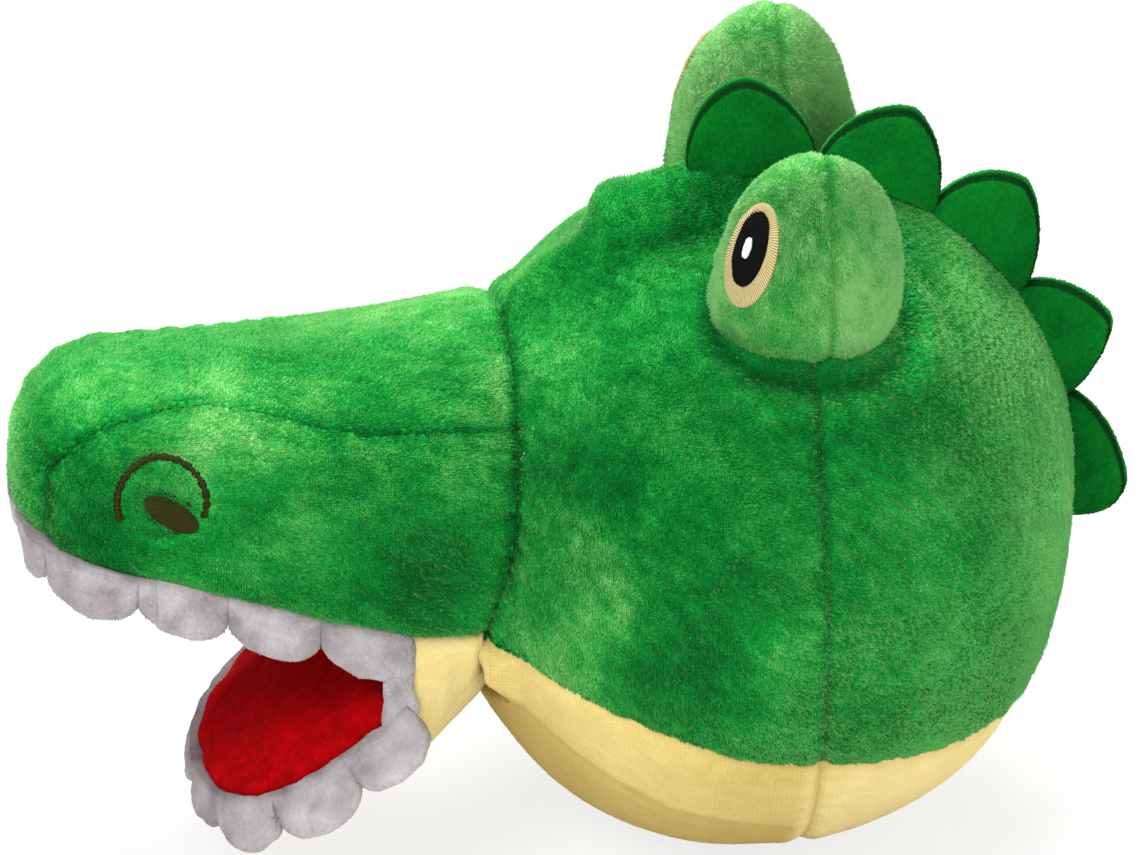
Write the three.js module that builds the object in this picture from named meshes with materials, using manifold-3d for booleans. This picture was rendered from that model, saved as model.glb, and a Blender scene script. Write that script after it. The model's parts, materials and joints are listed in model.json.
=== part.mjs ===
// Alligator head stress toy: a sewn velour skin around a squeezable foam core, with a stuffed snout,
// a stuffed lower jaw that hangs open, eyes on two stuffed mounds and a spine strip of rounded scutes.
// Millimetres, +Z up. The snout points to -Y, and +X is the toy's left side.
// The origin is the middle of the small flat under the belly, which the toy rests on.

import * as THREE from 'three';
import { mergeVertices } from 'three/addons/utils/BufferGeometryUtils.js';
import Module from 'manifold-3d';

const wasm = await Module();
wasm.setup();

// Cloth and sewing
const cloth = 1.6; // velour on its backing, with the pile pressed flat
const seam_gap = 0.3; // between two edges that are sewn together
const filling_gap = 0.3; // between the cloth and what fills it
const jaw_filling_gap = 0.6; // the jaw is filled more loosely
const weld = 0.001; // points nearer than this are one point
const overrun = 5; // how far a cutting shape runs past what it cuts

// Head. A place is a distance forward of the middle, and a height is counted from the ground
const head_half_width = 55;
const head_half_length = 55.5;
const head_rise_height = 58.5; // from the widest level up to the crown, without the ridge
const head_drop_depth = 63; // from the widest level down to the belly's lowest point
const belly_flat_depth = 0.5;
const ridge_height = 5.5; // the centre seam stands up along the crown
const ridge_half_width = 17;
const side_seam_place = -5; // the seam between the front and the back panels
const belly_seam_front_height = 47.4; // lower edge of the green cloth, at the mouth
const belly_seam_cheek_height = 39.3;
const belly_seam_cheek_place = 21;
const belly_seam_middle_height = 33.5;
const belly_seam_back_height = 26;

// Snout
const snout_seam_place = 45; // the seam between head and snout
const snout_length = 85; // from that seam to the tip
const snout_funnel_length = 16; // how far the snout's form runs back into the head
const root_half_width = 29;
const root_top_height = 101.2;
const funnel_half_width = 34;
const funnel_top_height = 108;
const nose_half_width = 24.5;
const nose_top_height = 97;
const nose_cap_length = 22; // length of the rounded end
const lip_fold_height = 48.8; // of the lip's edge at that seam
const lip_root_height = 49.8; // at the corner of the mouth
const lip_nose_height = 63.4; // where the rounded end begins
const palate_depth = 2; // the palate sags this far below the lip
const nose_panel_depth = 4; // the top panel folds down over this much of the nose
const top_seam_root_height = 90; // heights of the seam along the top panel, from the root forward
const top_seam_dip_height = 89.5;
const top_seam_brow_height = 94;
const top_seam_bend_height = 91;
const top_seam_nose_height = 83;

// Lower jaw, in its own frame: it runs forward from the fold and is turned down by the gape
const fold_place = 57; // axis that the jaw folds on
const fold_height = 37.4;
const fold_radius = 10;
const fold_gap = 0.3;
const jaw_gape = 38; // degrees below level
const jaw_length = 45;
const jaw_root_half_width = 25;
const jaw_full_half_width = 28.5;
const jaw_full_place = 18; // where it reaches its full width
const jaw_edge_height = 4.6; // of the edge seam above the fold's axis
const jaw_edge_rise_height = 2.8; // the edge seam turns up this far at the front
const jaw_corner_place = 4; // the edge seam turns up here, in front of the fold
const jaw_lining_crown = 5.2; // the red lining swells this far above the edge seam
const jaw_belly_depth = 10; // the underside hangs this far below the fold's axis
const jaw_belly_length = 15; // the underside stays full this far forward
const jaw_cap_length = 25; // length of the rounded end

// Tooth strips of thick fleece, each a row of rounded lobes
const tooth_thickness = 2.6;
const tooth_edge_thickness = 1.4;
const tooth_root_depth = 1; // how deep the strip is sewn in
const upper_tooth_length = 9;
const upper_valley_length = 4;
const upper_tooth_count = 10;
const upper_tooth_flare = 14; // degrees outwards of straight down
const mouth_corner_place = 63;
const lower_tooth_length = 9.4;
const lower_valley_length = 4;
const lower_tooth_count = 8;
const lower_front_cut_share = 0.4; // the front lobes are shorter by this share
const lower_front_reach_share = 0.3; // of each side's length, from the front, that this reaches
const lower_tooth_flare = 50; // degrees outwards of straight down
const lower_strip_start = 5; // from the fold's axis along the jaw

// Eye mounds
const mound_middle = 27; // of each mound, out from the centre seam
const mound_place = -5;
const mound_half_width = 12;
const mound_half_length = 16.5;
const mound_rise_height = 28.3; // of its top above its fullest level
const mound_sink_depth = 7.4; // of its fullest level below the head's crown
const mound_foot_depth = 13; // its form ends inside the head, this far below its fullest level
const mound_lean_width = 3; // how far the top stands outwards of the waist
const mound_back_lean_length = 1.4; // and behind it
const mound_seam_place = -8; // the seam between its front and back panels

// Embroidery, raised on the cloth
const thread_gap = 0.3;
const thread_height = 0.6;
const iris_width_share = 0.4; // of the mound's half width
const pupil_width_share = 0.24;
const highlight_width_share = 0.067;
const iris_height_share = 0.34; // of the mound's rise
const pupil_height_share = 0.235;
const highlight_height_share = 0.07;
const eye_height_share = 0.46; // how high the iris's middle is on the mound's rise
const pupil_height_above_share = 0.041; // of the pupil's middle above the iris's middle
const eye_turn = 54; // degrees from straight outwards towards the snout
const eye_tilt = 8;
const nostril_half_length = 5.4;
const nostril_half_width = 2.5;
const nostril_height = 77.5;
const nostril_place = 105;
const nostril_tilt = 35;
const nostril_arc_radius = 8.3;
const nostril_arc_width = 1.3;
const nostril_arc_shift = 1.7; // forward of the nostril
const nostril_arc_rise = 2.2; // above the nostril
const nostril_arc_start = -20; // degrees about its middle, from level behind
const nostril_arc_end = 200;

// Spine strip of two layers
const scute_heights = [16.2, 14.4, 13, 11, 10]; // of their peaks, from the front one backwards
const scute_peak_shares = [0.46, 0.55, 0.45, 0.6, 0.78]; // how far along each scute its peak is
const scute_thickness = 2.5; // thickness of one layer
const scute_valley_height = 0.5; // height left between two scutes
const spine_root_depth = 1.2; // how deep it is sewn in between the head's panels
const spine_front_angle = 11; // degrees forward of the crown
const spine_back_angle = 96; // degrees behind the crown

// Colours and roughnesses
const green_velour = { color: 0x2a913c, roughness: 0.95 };
const deep_green_velour = { color: 0x0b6b1e, roughness: 0.95 };
const cream_velour = { color: 0xefe0ac, roughness: 0.95 };
const red_velour = { color: 0x9a0210, roughness: 0.95 };
const white_fleece = { color: 0xcfc9c6, roughness: 1 };
const cut_foam = { color: 0xe9e2c8, roughness: 0.9 };
const fibre_filling = { color: 0xf2f0ea, roughness: 1 };
const gold_thread = { color: 0xd9c07c, roughness: 0.5 };
const black_thread = { color: 0x15120f, roughness: 0.5 };
const white_thread = { color: 0xe6e6e2, roughness: 0.5 };
const olive_thread = { color: 0x3b3a10, roughness: 0.6 };

// Facets
const head_slices = 19; // odd, which leaves a level facet underneath
const head_segments = 30;
const snout_slices = 6;
const nose_slices = 5;
const snout_segments = 28;
const mound_slices = 9;
const mound_segments = 20;
const jaw_segments = 18;
const jaw_slices = 4; // in each of its root, its middle and its rounded end
const seam_steps = 12;
const lobe_steps = 6;
const scute_steps = 8;
const ellipse_steps = 9;
const halvings = 20; // of the span that holds the lip's front

// Worked out from the sizes above
const degree = Math.PI / 180;
const half_turn = Math.PI;
const bottom_share = Math.cos(half_turn / head_segments) * Math.cos(half_turn / 2 / head_slices);
const head_middle_height = head_drop_depth * bottom_share - belly_flat_depth;
const mound_waist_height = head_middle_height + head_rise_height - mound_sink_depth; // where it is fullest
const mound_top_height = mound_waist_height + mound_rise_height;
const mound_foot_height = mound_waist_height - mound_foot_depth;
const eye_height = mound_waist_height + mound_rise_height * eye_height_share;
const pupil_height = eye_height + mound_rise_height * pupil_height_above_share;
const tip_place = snout_seam_place + snout_length;
const cap_place = tip_place - nose_cap_length;
const reach = head_half_width + overrun;
const back_reach = head_half_length + overrun;
const front_reach = tip_place + overrun;
const sky = mound_top_height + overrun;

// How full the sections are: 2 is an ellipse, and more is boxier
const crown_fullness = 2;
const belly_fullness = 2.12;
const snout_top_fullness = 2.2;
const snout_floor_fullness = 6;
const snout_middle_share = 0.45;
const nose_fullness = 2.3;
const brow_share = 0.62; // places along the snout where the top seam bends
const dip_share = 0.3;
const bend_share = 0.85;
const mound_fullness = 2.05;
const jaw_top_fullness = 2.4;
const jaw_belly_fullness = 2.2;
const jaw_front_fullness = 1.6;
const jaw_root_fullness = 6;
const scute_fullness = 1.5;
const lobe_fullness = 2;
const front_crowding = 4; // how closely the points of a mouth edge are set round its front
const tooth_taper_share = 0.25; // of a lobe's taper that is reached half way down

const vec = (x, y, z) => new THREE.Vector3(x, y, z);
const mix = (from, to, share) => from + (to - from) * share;
const limit = (value) => Math.min(Math.max(value, 0), 1);
const rim = (share, fullness) => Math.max(1 - Math.abs(share) ** fullness, 0) ** (1 / fullness);
const swell = (wave, fullness) => Math.sign(wave) * Math.abs(wave) ** (2 / fullness);

// Meshes made into solids for cutting, and back
function pointsOnly(geometry) {
  const plain = new THREE.BufferGeometry();
  plain.setAttribute('position', geometry.getAttribute('position'));
  plain.setIndex(geometry.getIndex());
  return mergeVertices(plain, weld);
}

function signedVolume(geometry) {
  const position = geometry.getAttribute('position');
  const index = geometry.getIndex();
  const corner = (i) => vec().fromBufferAttribute(position, index.getX(i));
  let sum = 0;
  for (let i = 0; i < index.count; i += 3) sum += corner(i).dot(corner(i + 1).cross(corner(i + 2))) / 6;
  return sum;
}

function solidOf(geometry) {
  const merged = pointsOnly(geometry);
  const inside_out = signedVolume(merged) < 0;
  const corners = merged.getIndex().array;
  const faces = [];
  for (let i = 0; i < corners.length; i += 3) {
    const [a, b, c] = corners.slice(i, i + 3);
    if (a !== b && b !== c && c !== a) faces.push(...(inside_out ? [a, c, b] : [a, b, c]));
  }
  return new wasm.Manifold(new wasm.Mesh({
    numProp: 3,
    vertProperties: Float32Array.from(merged.getAttribute('position').array),
    triVerts: Uint32Array.from(faces),
  }));
}

function geometryOf(solid) {
  const mesh = solid.getMesh();
  const geometry = new THREE.BufferGeometry();
  geometry.setAttribute('position', new THREE.BufferAttribute(mesh.vertProperties, mesh.numProp));
  geometry.setIndex([...mesh.triVerts]);
  return geometry;
}

const join = (...solids) => solids.reduce((sum, solid) => sum.add(solid));
const largest = (solid) => solid.decompose().reduce((a, b) => (b.volume() > a.volume() ? b : a));
const cut = (solid, ...tools) => tools.reduce((rest, tool) => rest.subtract(tool), solid);
const common = (...solids) => solids.reduce((rest, solid) => rest.intersect(solid));

// A closed skin over rings of equally many points, each end drawn together in one point
function loft(rings, first, last) {
  const count = rings[0].length;
  const middle = (ring) => ring.reduce((sum, p) => sum.add(p), vec(0, 0, 0)).divideScalar(count);
  const points = [first ?? middle(rings[0]), ...rings.flat(), last ?? middle(rings.at(-1))];
  const end = points.length - 1;
  const at = (ring, k) => 1 + ring * count + (k % count);
  const faces = [];
  for (let k = 0; k < count; k += 1) {
    faces.push(0, at(0, k + 1), at(0, k));
    faces.push(end, at(rings.length - 1, k), at(rings.length - 1, k + 1));
    for (let r = 0; r + 1 < rings.length; r += 1) {
      faces.push(at(r, k), at(r, k + 1), at(r + 1, k));
      faces.push(at(r, k + 1), at(r + 1, k + 1), at(r + 1, k));
    }
  }
  const geometry = new THREE.BufferGeometry();
  const coordinates = points.flatMap((p) => p.toArray());
  geometry.setAttribute('position', new THREE.Float32BufferAttribute(coordinates, 3));
  geometry.setIndex(faces);
  return geometry;
}

// The same skin moved along its own normals, outwards for a distance above zero
function moved(geometry, distance) {
  const copy = pointsOnly(geometry);
  copy.computeVertexNormals();
  const position = copy.getAttribute('position');
  const normal = copy.getAttribute('normal');
  const outwards = Math.sign(signedVolume(copy)) * distance;
  for (let i = 0; i < position.count; i += 1) {
    const point = vec().fromBufferAttribute(position, i);
    point.addScaledVector(vec().fromBufferAttribute(normal, i), outwards);
    position.setXYZ(i, point.x, point.y, point.z);
  }
  copy.deleteAttribute('normal');
  return copy;
}

// A side view outline of [place, height] corners, carried across the toy
function across(outline, from = -reach, to = reach) {
  const shape = new THREE.Shape(outline.map(([place, height]) => new THREE.Vector2(-place, height)));
  const geometry = new THREE.ExtrudeGeometry(shape, { depth: to - from, bevelEnabled: false });
  geometry.translate(0, 0, from);
  geometry.applyMatrix4(new THREE.Matrix4().makeBasis(vec(0, 1, 0), vec(0, 0, 1), vec(1, 0, 0)));
  return solidOf(geometry);
}

// A thin ribbon along a side view curve, which parts the cloth on its two sides
function seam(curve, width = seam_gap, from = -reach, to = reach) {
  const edge = (side) => curve.map(([place, height], i) => {
    const before = curve[Math.max(i - 1, 0)];
    const after = curve[Math.min(i + 1, curve.length - 1)];
    const along = new THREE.Vector2(after[0] - before[0], after[1] - before[1]).normalize();
    return [place - (side * along.y * width) / 2, height + (side * along.x * width) / 2];
  });
  return across([...edge(1), ...edge(-1).reverse()], from, to);
}

function smooth(points, steps = seam_steps) {
  const spline = new THREE.SplineCurve(points.map(([place, height]) => new THREE.Vector2(place, height)));
  return spline.getPoints(steps).map((p) => [p.x, p.y]);
}

const block = (from_place, to_place, from_height, to_height, from = -reach, to = reach) => across([
  [from_place, from_height],
  [to_place, from_height],
  [to_place, to_height],
  [from_place, to_height],
], from, to);

// Head: an egg-like ball with a low ridge along the crown
function headSection(angle) {
  const up = Math.sin(angle);
  const fullness = up < 0 ? belly_fullness : crown_fullness;
  const place = -swell(Math.cos(angle), fullness) * head_half_length;
  return [place, swell(up, fullness) * (up < 0 ? head_drop_depth : head_rise_height)];
}

function headPoint(x, angle, proud = 0) {
  const share = rim(x / head_half_width, crown_fullness);
  const [place, height] = headSection(angle);
  const fade = limit(1 - Math.abs(x) / ridge_half_width) ** 2;
  const lift = ridge_height * fade * limit(Math.sin(angle)) + proud;
  const grown = share * (1 + lift / Math.hypot(place, height));
  return vec(x, -place * grown, head_middle_height + height * grown);
}

function headForm() {
  const rings = [];
  for (let i = 1; i < head_slices; i += 1) {
    const x = -Math.cos((i / head_slices) * half_turn) * head_half_width;
    const ring = [];
    for (let k = 0; k < head_segments; k += 1) ring.push(headPoint(x, (2 * half_turn * k) / head_segments));
    rings.push(ring);
  }
  const first = vec(-head_half_width, 0, head_middle_height);
  return loft(rings, first, vec(head_half_width, 0, head_middle_height));
}

// Snout: sections that taper forward and close in a blunt rounded nose
function lipHeight(place) {
  const share = Math.max(place - mouth_corner_place, 0) / (cap_place - mouth_corner_place);
  return mix(lip_root_height, lip_nose_height, share);
}

function snoutSection(place) {
  const behind = Math.max(snout_seam_place - place, 0) / snout_funnel_length;
  const along = limit((place - snout_seam_place) / (cap_place - snout_seam_place));
  const cap = rim(limit((place - cap_place) / nose_cap_length), nose_fullness);
  const floor = lipHeight(Math.min(place, cap_place)) - palate_depth;
  const top = mix(mix(root_top_height, nose_top_height, along), funnel_top_height, behind);
  const middle = mix(floor, top, snout_middle_share);
  return {
    middle,
    half_width: mix(mix(root_half_width, nose_half_width, along), funnel_half_width, behind) * cap,
    above: (top - middle) * cap,
    below: (middle - floor) * cap,
  };
}

function snoutForm() {
  const places = [snout_seam_place - snout_funnel_length];
  for (let i = 0; i <= snout_slices; i += 1) {
    places.push(mix(snout_seam_place, cap_place, i / snout_slices));
  }
  for (let i = 1; i <= nose_slices; i += 1) {
    places.push(cap_place + nose_cap_length * Math.sin((i / (nose_slices + 1)) * (half_turn / 2)));
  }
  const rings = places.map((place) => {
    const { middle, half_width, above, below } = snoutSection(place);
    const ring = [];
    for (let k = 0; k < snout_segments; k += 1) {
      const angle = (2 * half_turn * k) / snout_segments;
      const up = Math.sin(angle);
      const fullness = up < 0 ? snout_floor_fullness : snout_top_fullness;
      const height = middle + swell(up, fullness) * (up < 0 ? below : above);
      ring.push(vec(swell(Math.cos(angle), fullness) * half_width, -place, height));
    }
    return ring;
  });
  return loft(rings, undefined, vec(0, -tip_place, snoutSection(tip_place).middle));
}

const head_form = headForm();
const snout_form = snoutForm();

// The head and snout together, grown or shrunk by a distance, with the flat that the belly rests on
function bodySolid(distance) {
  const whole = join(solidOf(moved(head_form, distance)), solidOf(moved(snout_form, distance)));
  return cut(whole, block(-back_reach, front_reach, -overrun, 0));
}

// Seams, drawn in side view
const nose_seam_place = tip_place - nose_panel_depth;
const along_snout = (share) => mix(snout_seam_place, tip_place, share);
const belly_seam = [[front_reach, belly_seam_front_height], ...smooth([
  [snout_seam_place, belly_seam_front_height],
  [belly_seam_cheek_place, belly_seam_cheek_height],
  [0, belly_seam_middle_height],
  [-back_reach, belly_seam_back_height],
])];
const lip_seam = [
  [snout_seam_place, lip_fold_height],
  [mouth_corner_place, lip_root_height],
  [front_reach, lipHeight(front_reach)],
];
const top_seam = [...smooth([
  [snout_seam_place, top_seam_root_height],
  [along_snout(dip_share), top_seam_dip_height],
  [along_snout(brow_share), top_seam_brow_height],
  [along_snout(bend_share), top_seam_bend_height],
  [nose_seam_place, top_seam_nose_height],
]), [nose_seam_place, lipHeight(nose_seam_place)]];
const side_seam = seam([[side_seam_place, -overrun], [side_seam_place, sky]]);
const snout_seam = seam([[snout_seam_place, belly_seam_front_height], [snout_seam_place, sky]]);
const centre_seam = block(-back_reach, snout_seam_place, 0, sky, -seam_gap / 2, seam_gap / 2);

// The spine strip: two layers of rounded scutes, sewn in along the centre seam
function spinePoint(share, proud) {
  const from_crown = mix(-spine_front_angle, spine_back_angle, share) * degree;
  const point = headPoint(0, half_turn / 2 - from_crown, proud);
  return [-point.y, point.z];
}

function spineOutline() {
  const outline = [];
  scute_heights.forEach((height, scute) => {
    const peak = scute_peak_shares[scute];
    for (let step = 0; step < scute_steps; step += 1) {
      const along = (1 - Math.cos((step / scute_steps) * half_turn)) / 2;
      const from_peak = along < peak ? (peak - along) / peak : (along - peak) / (1 - peak);
      const proud = mix(scute_valley_height, height, rim(from_peak, scute_fullness));
      outline.push(spinePoint((scute + along) / scute_heights.length, proud));
    }
  });
  outline.push(spinePoint(1, scute_valley_height));
  for (let step = head_segments; step >= 0; step -= 1) {
    outline.push(spinePoint(step / head_segments, -spine_root_depth));
  }
  return outline;
}

function spineSlot() {
  const outline = [];
  const depth = cloth + filling_gap / 2;
  for (let step = 0; step <= head_segments; step += 1) {
    outline.push(spinePoint(step / head_segments, overrun));
  }
  for (let step = head_segments; step >= 0; step -= 1) {
    outline.push(spinePoint(step / head_segments, -depth));
  }
  const half_width = seam_gap / 2 + scute_thickness + seam_gap;
  return across(outline, -half_width, half_width);
}

// A strip of fleece lobes along an edge, from evenly spaced points and the way out from each
function toothStrip(points, size, grown = 0) {
  const last = points.length - 1;
  const flare = size.flare * degree;
  const rings = points.map((point, i) => {
    const ahead = points[Math.min(i + 1, last)].clone().sub(points[Math.max(i - 1, 0)]);
    const out = ahead.cross(vec(0, 0, 1)).normalize();
    const down = vec(0, 0, -Math.cos(flare)).addScaledVector(out, Math.sin(flare));
    const face = vec(0, 0, Math.sin(flare)).addScaledVector(out, Math.cos(flare));
    const lobe = ((i * size.count) / last) % 1;
    const from_front = Math.abs((2 * i) / last - 1) / lower_front_reach_share;
    const shortened = 1 - size.front_cut * Math.exp(-(from_front ** 2));
    const length = mix(size.valley, size.length, rim(2 * lobe - 1, lobe_fullness)) * shortened + grown;
    const rows = [
      [-tooth_root_depth - grown, tooth_thickness],
      [0, tooth_thickness],
      [length / 2, mix(tooth_thickness, tooth_edge_thickness, tooth_taper_share)],
      [length, tooth_edge_thickness],
    ];
    const side = (sign) => rows.map(([depth, thickness]) => point.clone()
      .addScaledVector(down, depth).addScaledVector(face, sign * (thickness / 2 + grown)));
    return [...side(1), ...side(-1).reverse()];
  });
  return solidOf(loft(rings));
}

// Evenly spaced points around a mouth edge, from the right corner past the front to the left one
function aroundMouth(halfWidth, height, corner, front, count) {
  const left = [];
  for (let i = 0; i <= seam_steps; i += 1) {
    const place = mix(corner, front, 1 - (1 - i / seam_steps) ** front_crowding);
    left.push(vec(halfWidth(place), -place, height(place)));
  }
  const right = left.slice(0, -1).map((p) => vec(-p.x, p.y, p.z));
  return new THREE.CatmullRomCurve3([...right, ...left.reverse()]).getSpacedPoints(count);
}

function lipHalfWidth(place) {
  const { middle, half_width, below } = snoutSection(place);
  return half_width * rim(limit((middle - lipHeight(place)) / below), snout_floor_fullness);
}

function lipFrontPlace() {
  let [near, far] = [cap_place, tip_place];
  for (let i = 0; i < halvings; i += 1) {
    const place = (near + far) / 2;
    const { middle, below } = snoutSection(place);
    if (middle - lipHeight(place) < below) near = place;
    else far = place;
  }
  return near;
}

const upper_size = {
  length: upper_tooth_length,
  valley: upper_valley_length,
  count: upper_tooth_count,
  flare: upper_tooth_flare,
  front_cut: 0,
};
const upper_edge = aroundMouth(
  lipHalfWidth, lipHeight, mouth_corner_place, lipFrontPlace(), upper_tooth_count * lobe_steps,
);

// Eye mound on the left side
function moundForm() {
  const rings = [];
  for (let i = 1; i < mound_slices; i += 1) {
    const angle = (i / mound_slices - 0.5) * half_turn;
    const up = Math.sin(angle);
    const share = swell(Math.cos(angle), mound_fullness);
    const end_height = up < 0 ? mound_foot_height : mound_top_height;
    const height = mix(mound_waist_height, end_height, swell(Math.abs(up), mound_fullness));
    const ring = [];
    for (let k = 0; k < mound_segments; k += 1) {
      const turn = (2 * half_turn * k) / mound_segments;
      const lean_share = Math.max(up, 0);
      const x = mound_middle + mound_lean_width * lean_share + share * mound_half_width * Math.cos(turn);
      const behind = mound_back_lean_length * lean_share + share * mound_half_length * Math.sin(turn);
      ring.push(vec(x, behind - mound_place, height));
    }
    rings.push(ring);
  }
  return loft(
    rings,
    vec(mound_middle, -mound_place, mound_foot_height),
    vec(mound_middle + mound_lean_width, mound_back_lean_length - mound_place, mound_top_height),
  );
}

// Raised thread on a form: the part of it inside an outline that faces one way
function embroider(form, outline, centre, turn, tilt, hole, hole_centre = centre) {
  const raised = cut(solidOf(moved(form, thread_gap + thread_height)), solidOf(moved(form, thread_gap)));
  const facing = vec(Math.cos(turn * degree), -Math.sin(turn * degree), 0);
  const placed = (shape, at) => {
    const depth_only = { depth: reach, bevelEnabled: false, curveSegments: ellipse_steps };
    const geometry = new THREE.ExtrudeGeometry(shape, depth_only);
    geometry.rotateZ(-tilt * degree);
    geometry.applyMatrix4(new THREE.Matrix4().makeBasis(vec(0, 0, 1).cross(facing), vec(0, 0, 1), facing));
    return solidOf(geometry.translate(at.x, at.y, at.z));
  };
  const patch = common(raised, placed(outline, centre));
  return hole ? cut(patch, placed(hole, hole_centre)) : patch;
}

function ellipse(half_width, half_height, grown = 0) {
  return new THREE.Shape().absellipse(0, 0, half_width + grown, half_height + grown, 0, 2 * half_turn);
}

// Lower jaw, level and with the fold's axis at its origin
function jawEdge(place) {
  return jaw_edge_height + jaw_edge_rise_height * limit(place / jaw_length) ** 3;
}

function jawSection(place) {
  const swelling = rim(1 - limit(place / jaw_full_place), lobe_fullness);
  const half_width = mix(jaw_root_half_width, jaw_full_half_width, swelling);
  if (place < 0) {
    const round = fold_radius * rim(place / fold_radius, lobe_fullness);
    const middle = (round * jaw_edge_height) / fold_radius;
    const closing = rim(place / fold_radius, jaw_root_fullness);
    return { middle, half_width: half_width * closing, above: round - middle, below: round + middle };
  }
  const cap_start = jaw_length - jaw_cap_length;
  const cap = rim(limit((place - cap_start) / jaw_cap_length), nose_fullness);
  const tapered_share = limit((place - jaw_belly_length) / (jaw_length - jaw_belly_length));
  const taper = rim(tapered_share, jaw_front_fullness);
  return {
    middle: jawEdge(place),
    half_width: half_width * cap,
    above: jaw_lining_crown * cap,
    below: (jawEdge(place) + jaw_belly_depth) * taper,
  };
}

function jawForm() {
  const places = [];
  const cap_start = jaw_length - jaw_cap_length;
  for (let i = 1; i <= jaw_slices; i += 1) {
    const quarter = ((i / jaw_slices) * half_turn) / 2;
    places.push(-fold_radius * Math.cos(quarter));
    places.push((cap_start * i) / jaw_slices);
    if (i < jaw_slices) places.push(cap_start + jaw_cap_length * Math.sin(quarter));
  }
  places.sort((a, b) => a - b);
  const rings = places.map((place) => {
    const { middle, half_width, above, below } = jawSection(place);
    const ring = [];
    for (let k = 0; k < jaw_segments; k += 1) {
      const angle = (2 * half_turn * k) / jaw_segments;
      const up = Math.sin(angle);
      const fullness = up < 0 ? jaw_belly_fullness : jaw_top_fullness;
      const height = middle + swell(up, fullness) * (up < 0 ? below : above);
      ring.push(vec(swell(Math.cos(angle), fullness) * half_width, -place, height));
    }
    return ring;
  });
  return loft(rings, vec(0, fold_radius, 0), vec(0, -jaw_length, jawEdge(jaw_length)));
}

const lower_size = {
  length: lower_tooth_length,
  valley: lower_valley_length,
  count: lower_tooth_count,
  flare: lower_tooth_flare,
  front_cut: lower_front_cut_share,
};
const jawHalfWidth = (place) => jawSection(place).half_width;
const lower_edge = aroundMouth(
  jawHalfWidth, jawEdge, lower_strip_start, jaw_length, lower_tooth_count * lobe_steps,
);

// The pieces
const toy = new THREE.Group();
const jaw = new THREE.Group();
jaw.position.set(0, -fold_place, fold_height);
jaw.rotation.x = jaw_gape * degree;
toy.add(jaw);

function piece(group, name, solid, look) {
  const mesh = new THREE.Mesh(geometryOf(solid), new THREE.MeshStandardMaterial({ ...look, metalness: 0 }));
  mesh.name = name;
  group.add(mesh);
}

function bothSides(name, solid, look) {
  piece(toy, `${name}_left`, solid, look);
  piece(toy, `${name}_right`, solidOf(geometryOf(solid).scale(-1, 1, 1)), look);
}

function foldPocket(grown) {
  const radius = fold_radius + grown;
  const width = 2 * (jaw_root_half_width + grown);
  const geometry = new THREE.CylinderGeometry(radius, radius, width, head_segments);
  return solidOf(geometry.rotateZ(half_turn / 2).translate(0, -fold_place, fold_height));
}

function headAndSnout() {
  const skin = cut(bodySolid(0), bodySolid(-cloth), foldPocket(fold_gap));
  const sewn_teeth = toothStrip(upper_edge, { ...upper_size, length: upper_valley_length }, seam_gap);
  const below_belly_seam = across([...belly_seam, [-back_reach, -overrun], [front_reach, -overrun]]);
  const belly_line = seam(belly_seam);
  const green = cut(skin, below_belly_seam, belly_line, side_seam, snout_seam, centre_seam, spineSlot());
  const cream = cut(common(skin, below_belly_seam), belly_line, side_seam);
  const left = (from, to) => block(from, to, -overrun, sky, seam_gap / 2, reach);

  bothSides('head_front', common(green, left(side_seam_place, snout_seam_place)), green_velour);
  bothSides('head_back', common(green, left(-back_reach, side_seam_place)), green_velour);
  const ahead = block(side_seam_place, front_reach, -overrun, sky);
  piece(toy, 'belly_front', common(cream, ahead), cream_velour);
  piece(toy, 'belly_back', cut(cream, ahead), cream_velour);

  const front = block(snout_seam_place, front_reach, belly_seam_front_height, sky);
  const seams = [snout_seam, belly_line, seam(top_seam), seam(lip_seam)];
  const muzzle = cut(common(skin, front), ...seams, sewn_teeth);
  const lip_end = [front_reach, lipHeight(front_reach)];
  const above_top_seam = across([...top_seam, lip_end, [front_reach, sky], [snout_seam_place, sky]]);
  const below_lip = across([...lip_seam, [front_reach, 0], [snout_seam_place, 0]]);
  piece(toy, 'snout_top_panel', largest(common(muzzle, above_top_seam)), green_velour);
  const cheeks = cut(muzzle, above_top_seam, below_lip);
  bothSides('snout_side', common(cheeks, left(0, front_reach)), green_velour);
  piece(toy, 'palate_lining', common(muzzle, below_lip), red_velour);

  const filling = cut(bodySolid(-cloth - filling_gap), foldPocket(fold_gap + cloth));
  const snout_room = block(snout_seam_place, front_reach, belly_seam_front_height, sky);
  const parting = join(snout_seam, seam(belly_seam.slice(0, 2)));
  piece(toy, 'head_foam_core', cut(filling, snout_room, parting), cut_foam);
  piece(toy, 'snout_stuffing', cut(common(filling, snout_room), parting), fibre_filling);
  piece(toy, 'upper_teeth', toothStrip(upper_edge, upper_size), white_fleece);
  const scutes = across(spineOutline(), seam_gap / 2, seam_gap / 2 + scute_thickness);
  bothSides('spine_strip', scutes, deep_green_velour);
}

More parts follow.
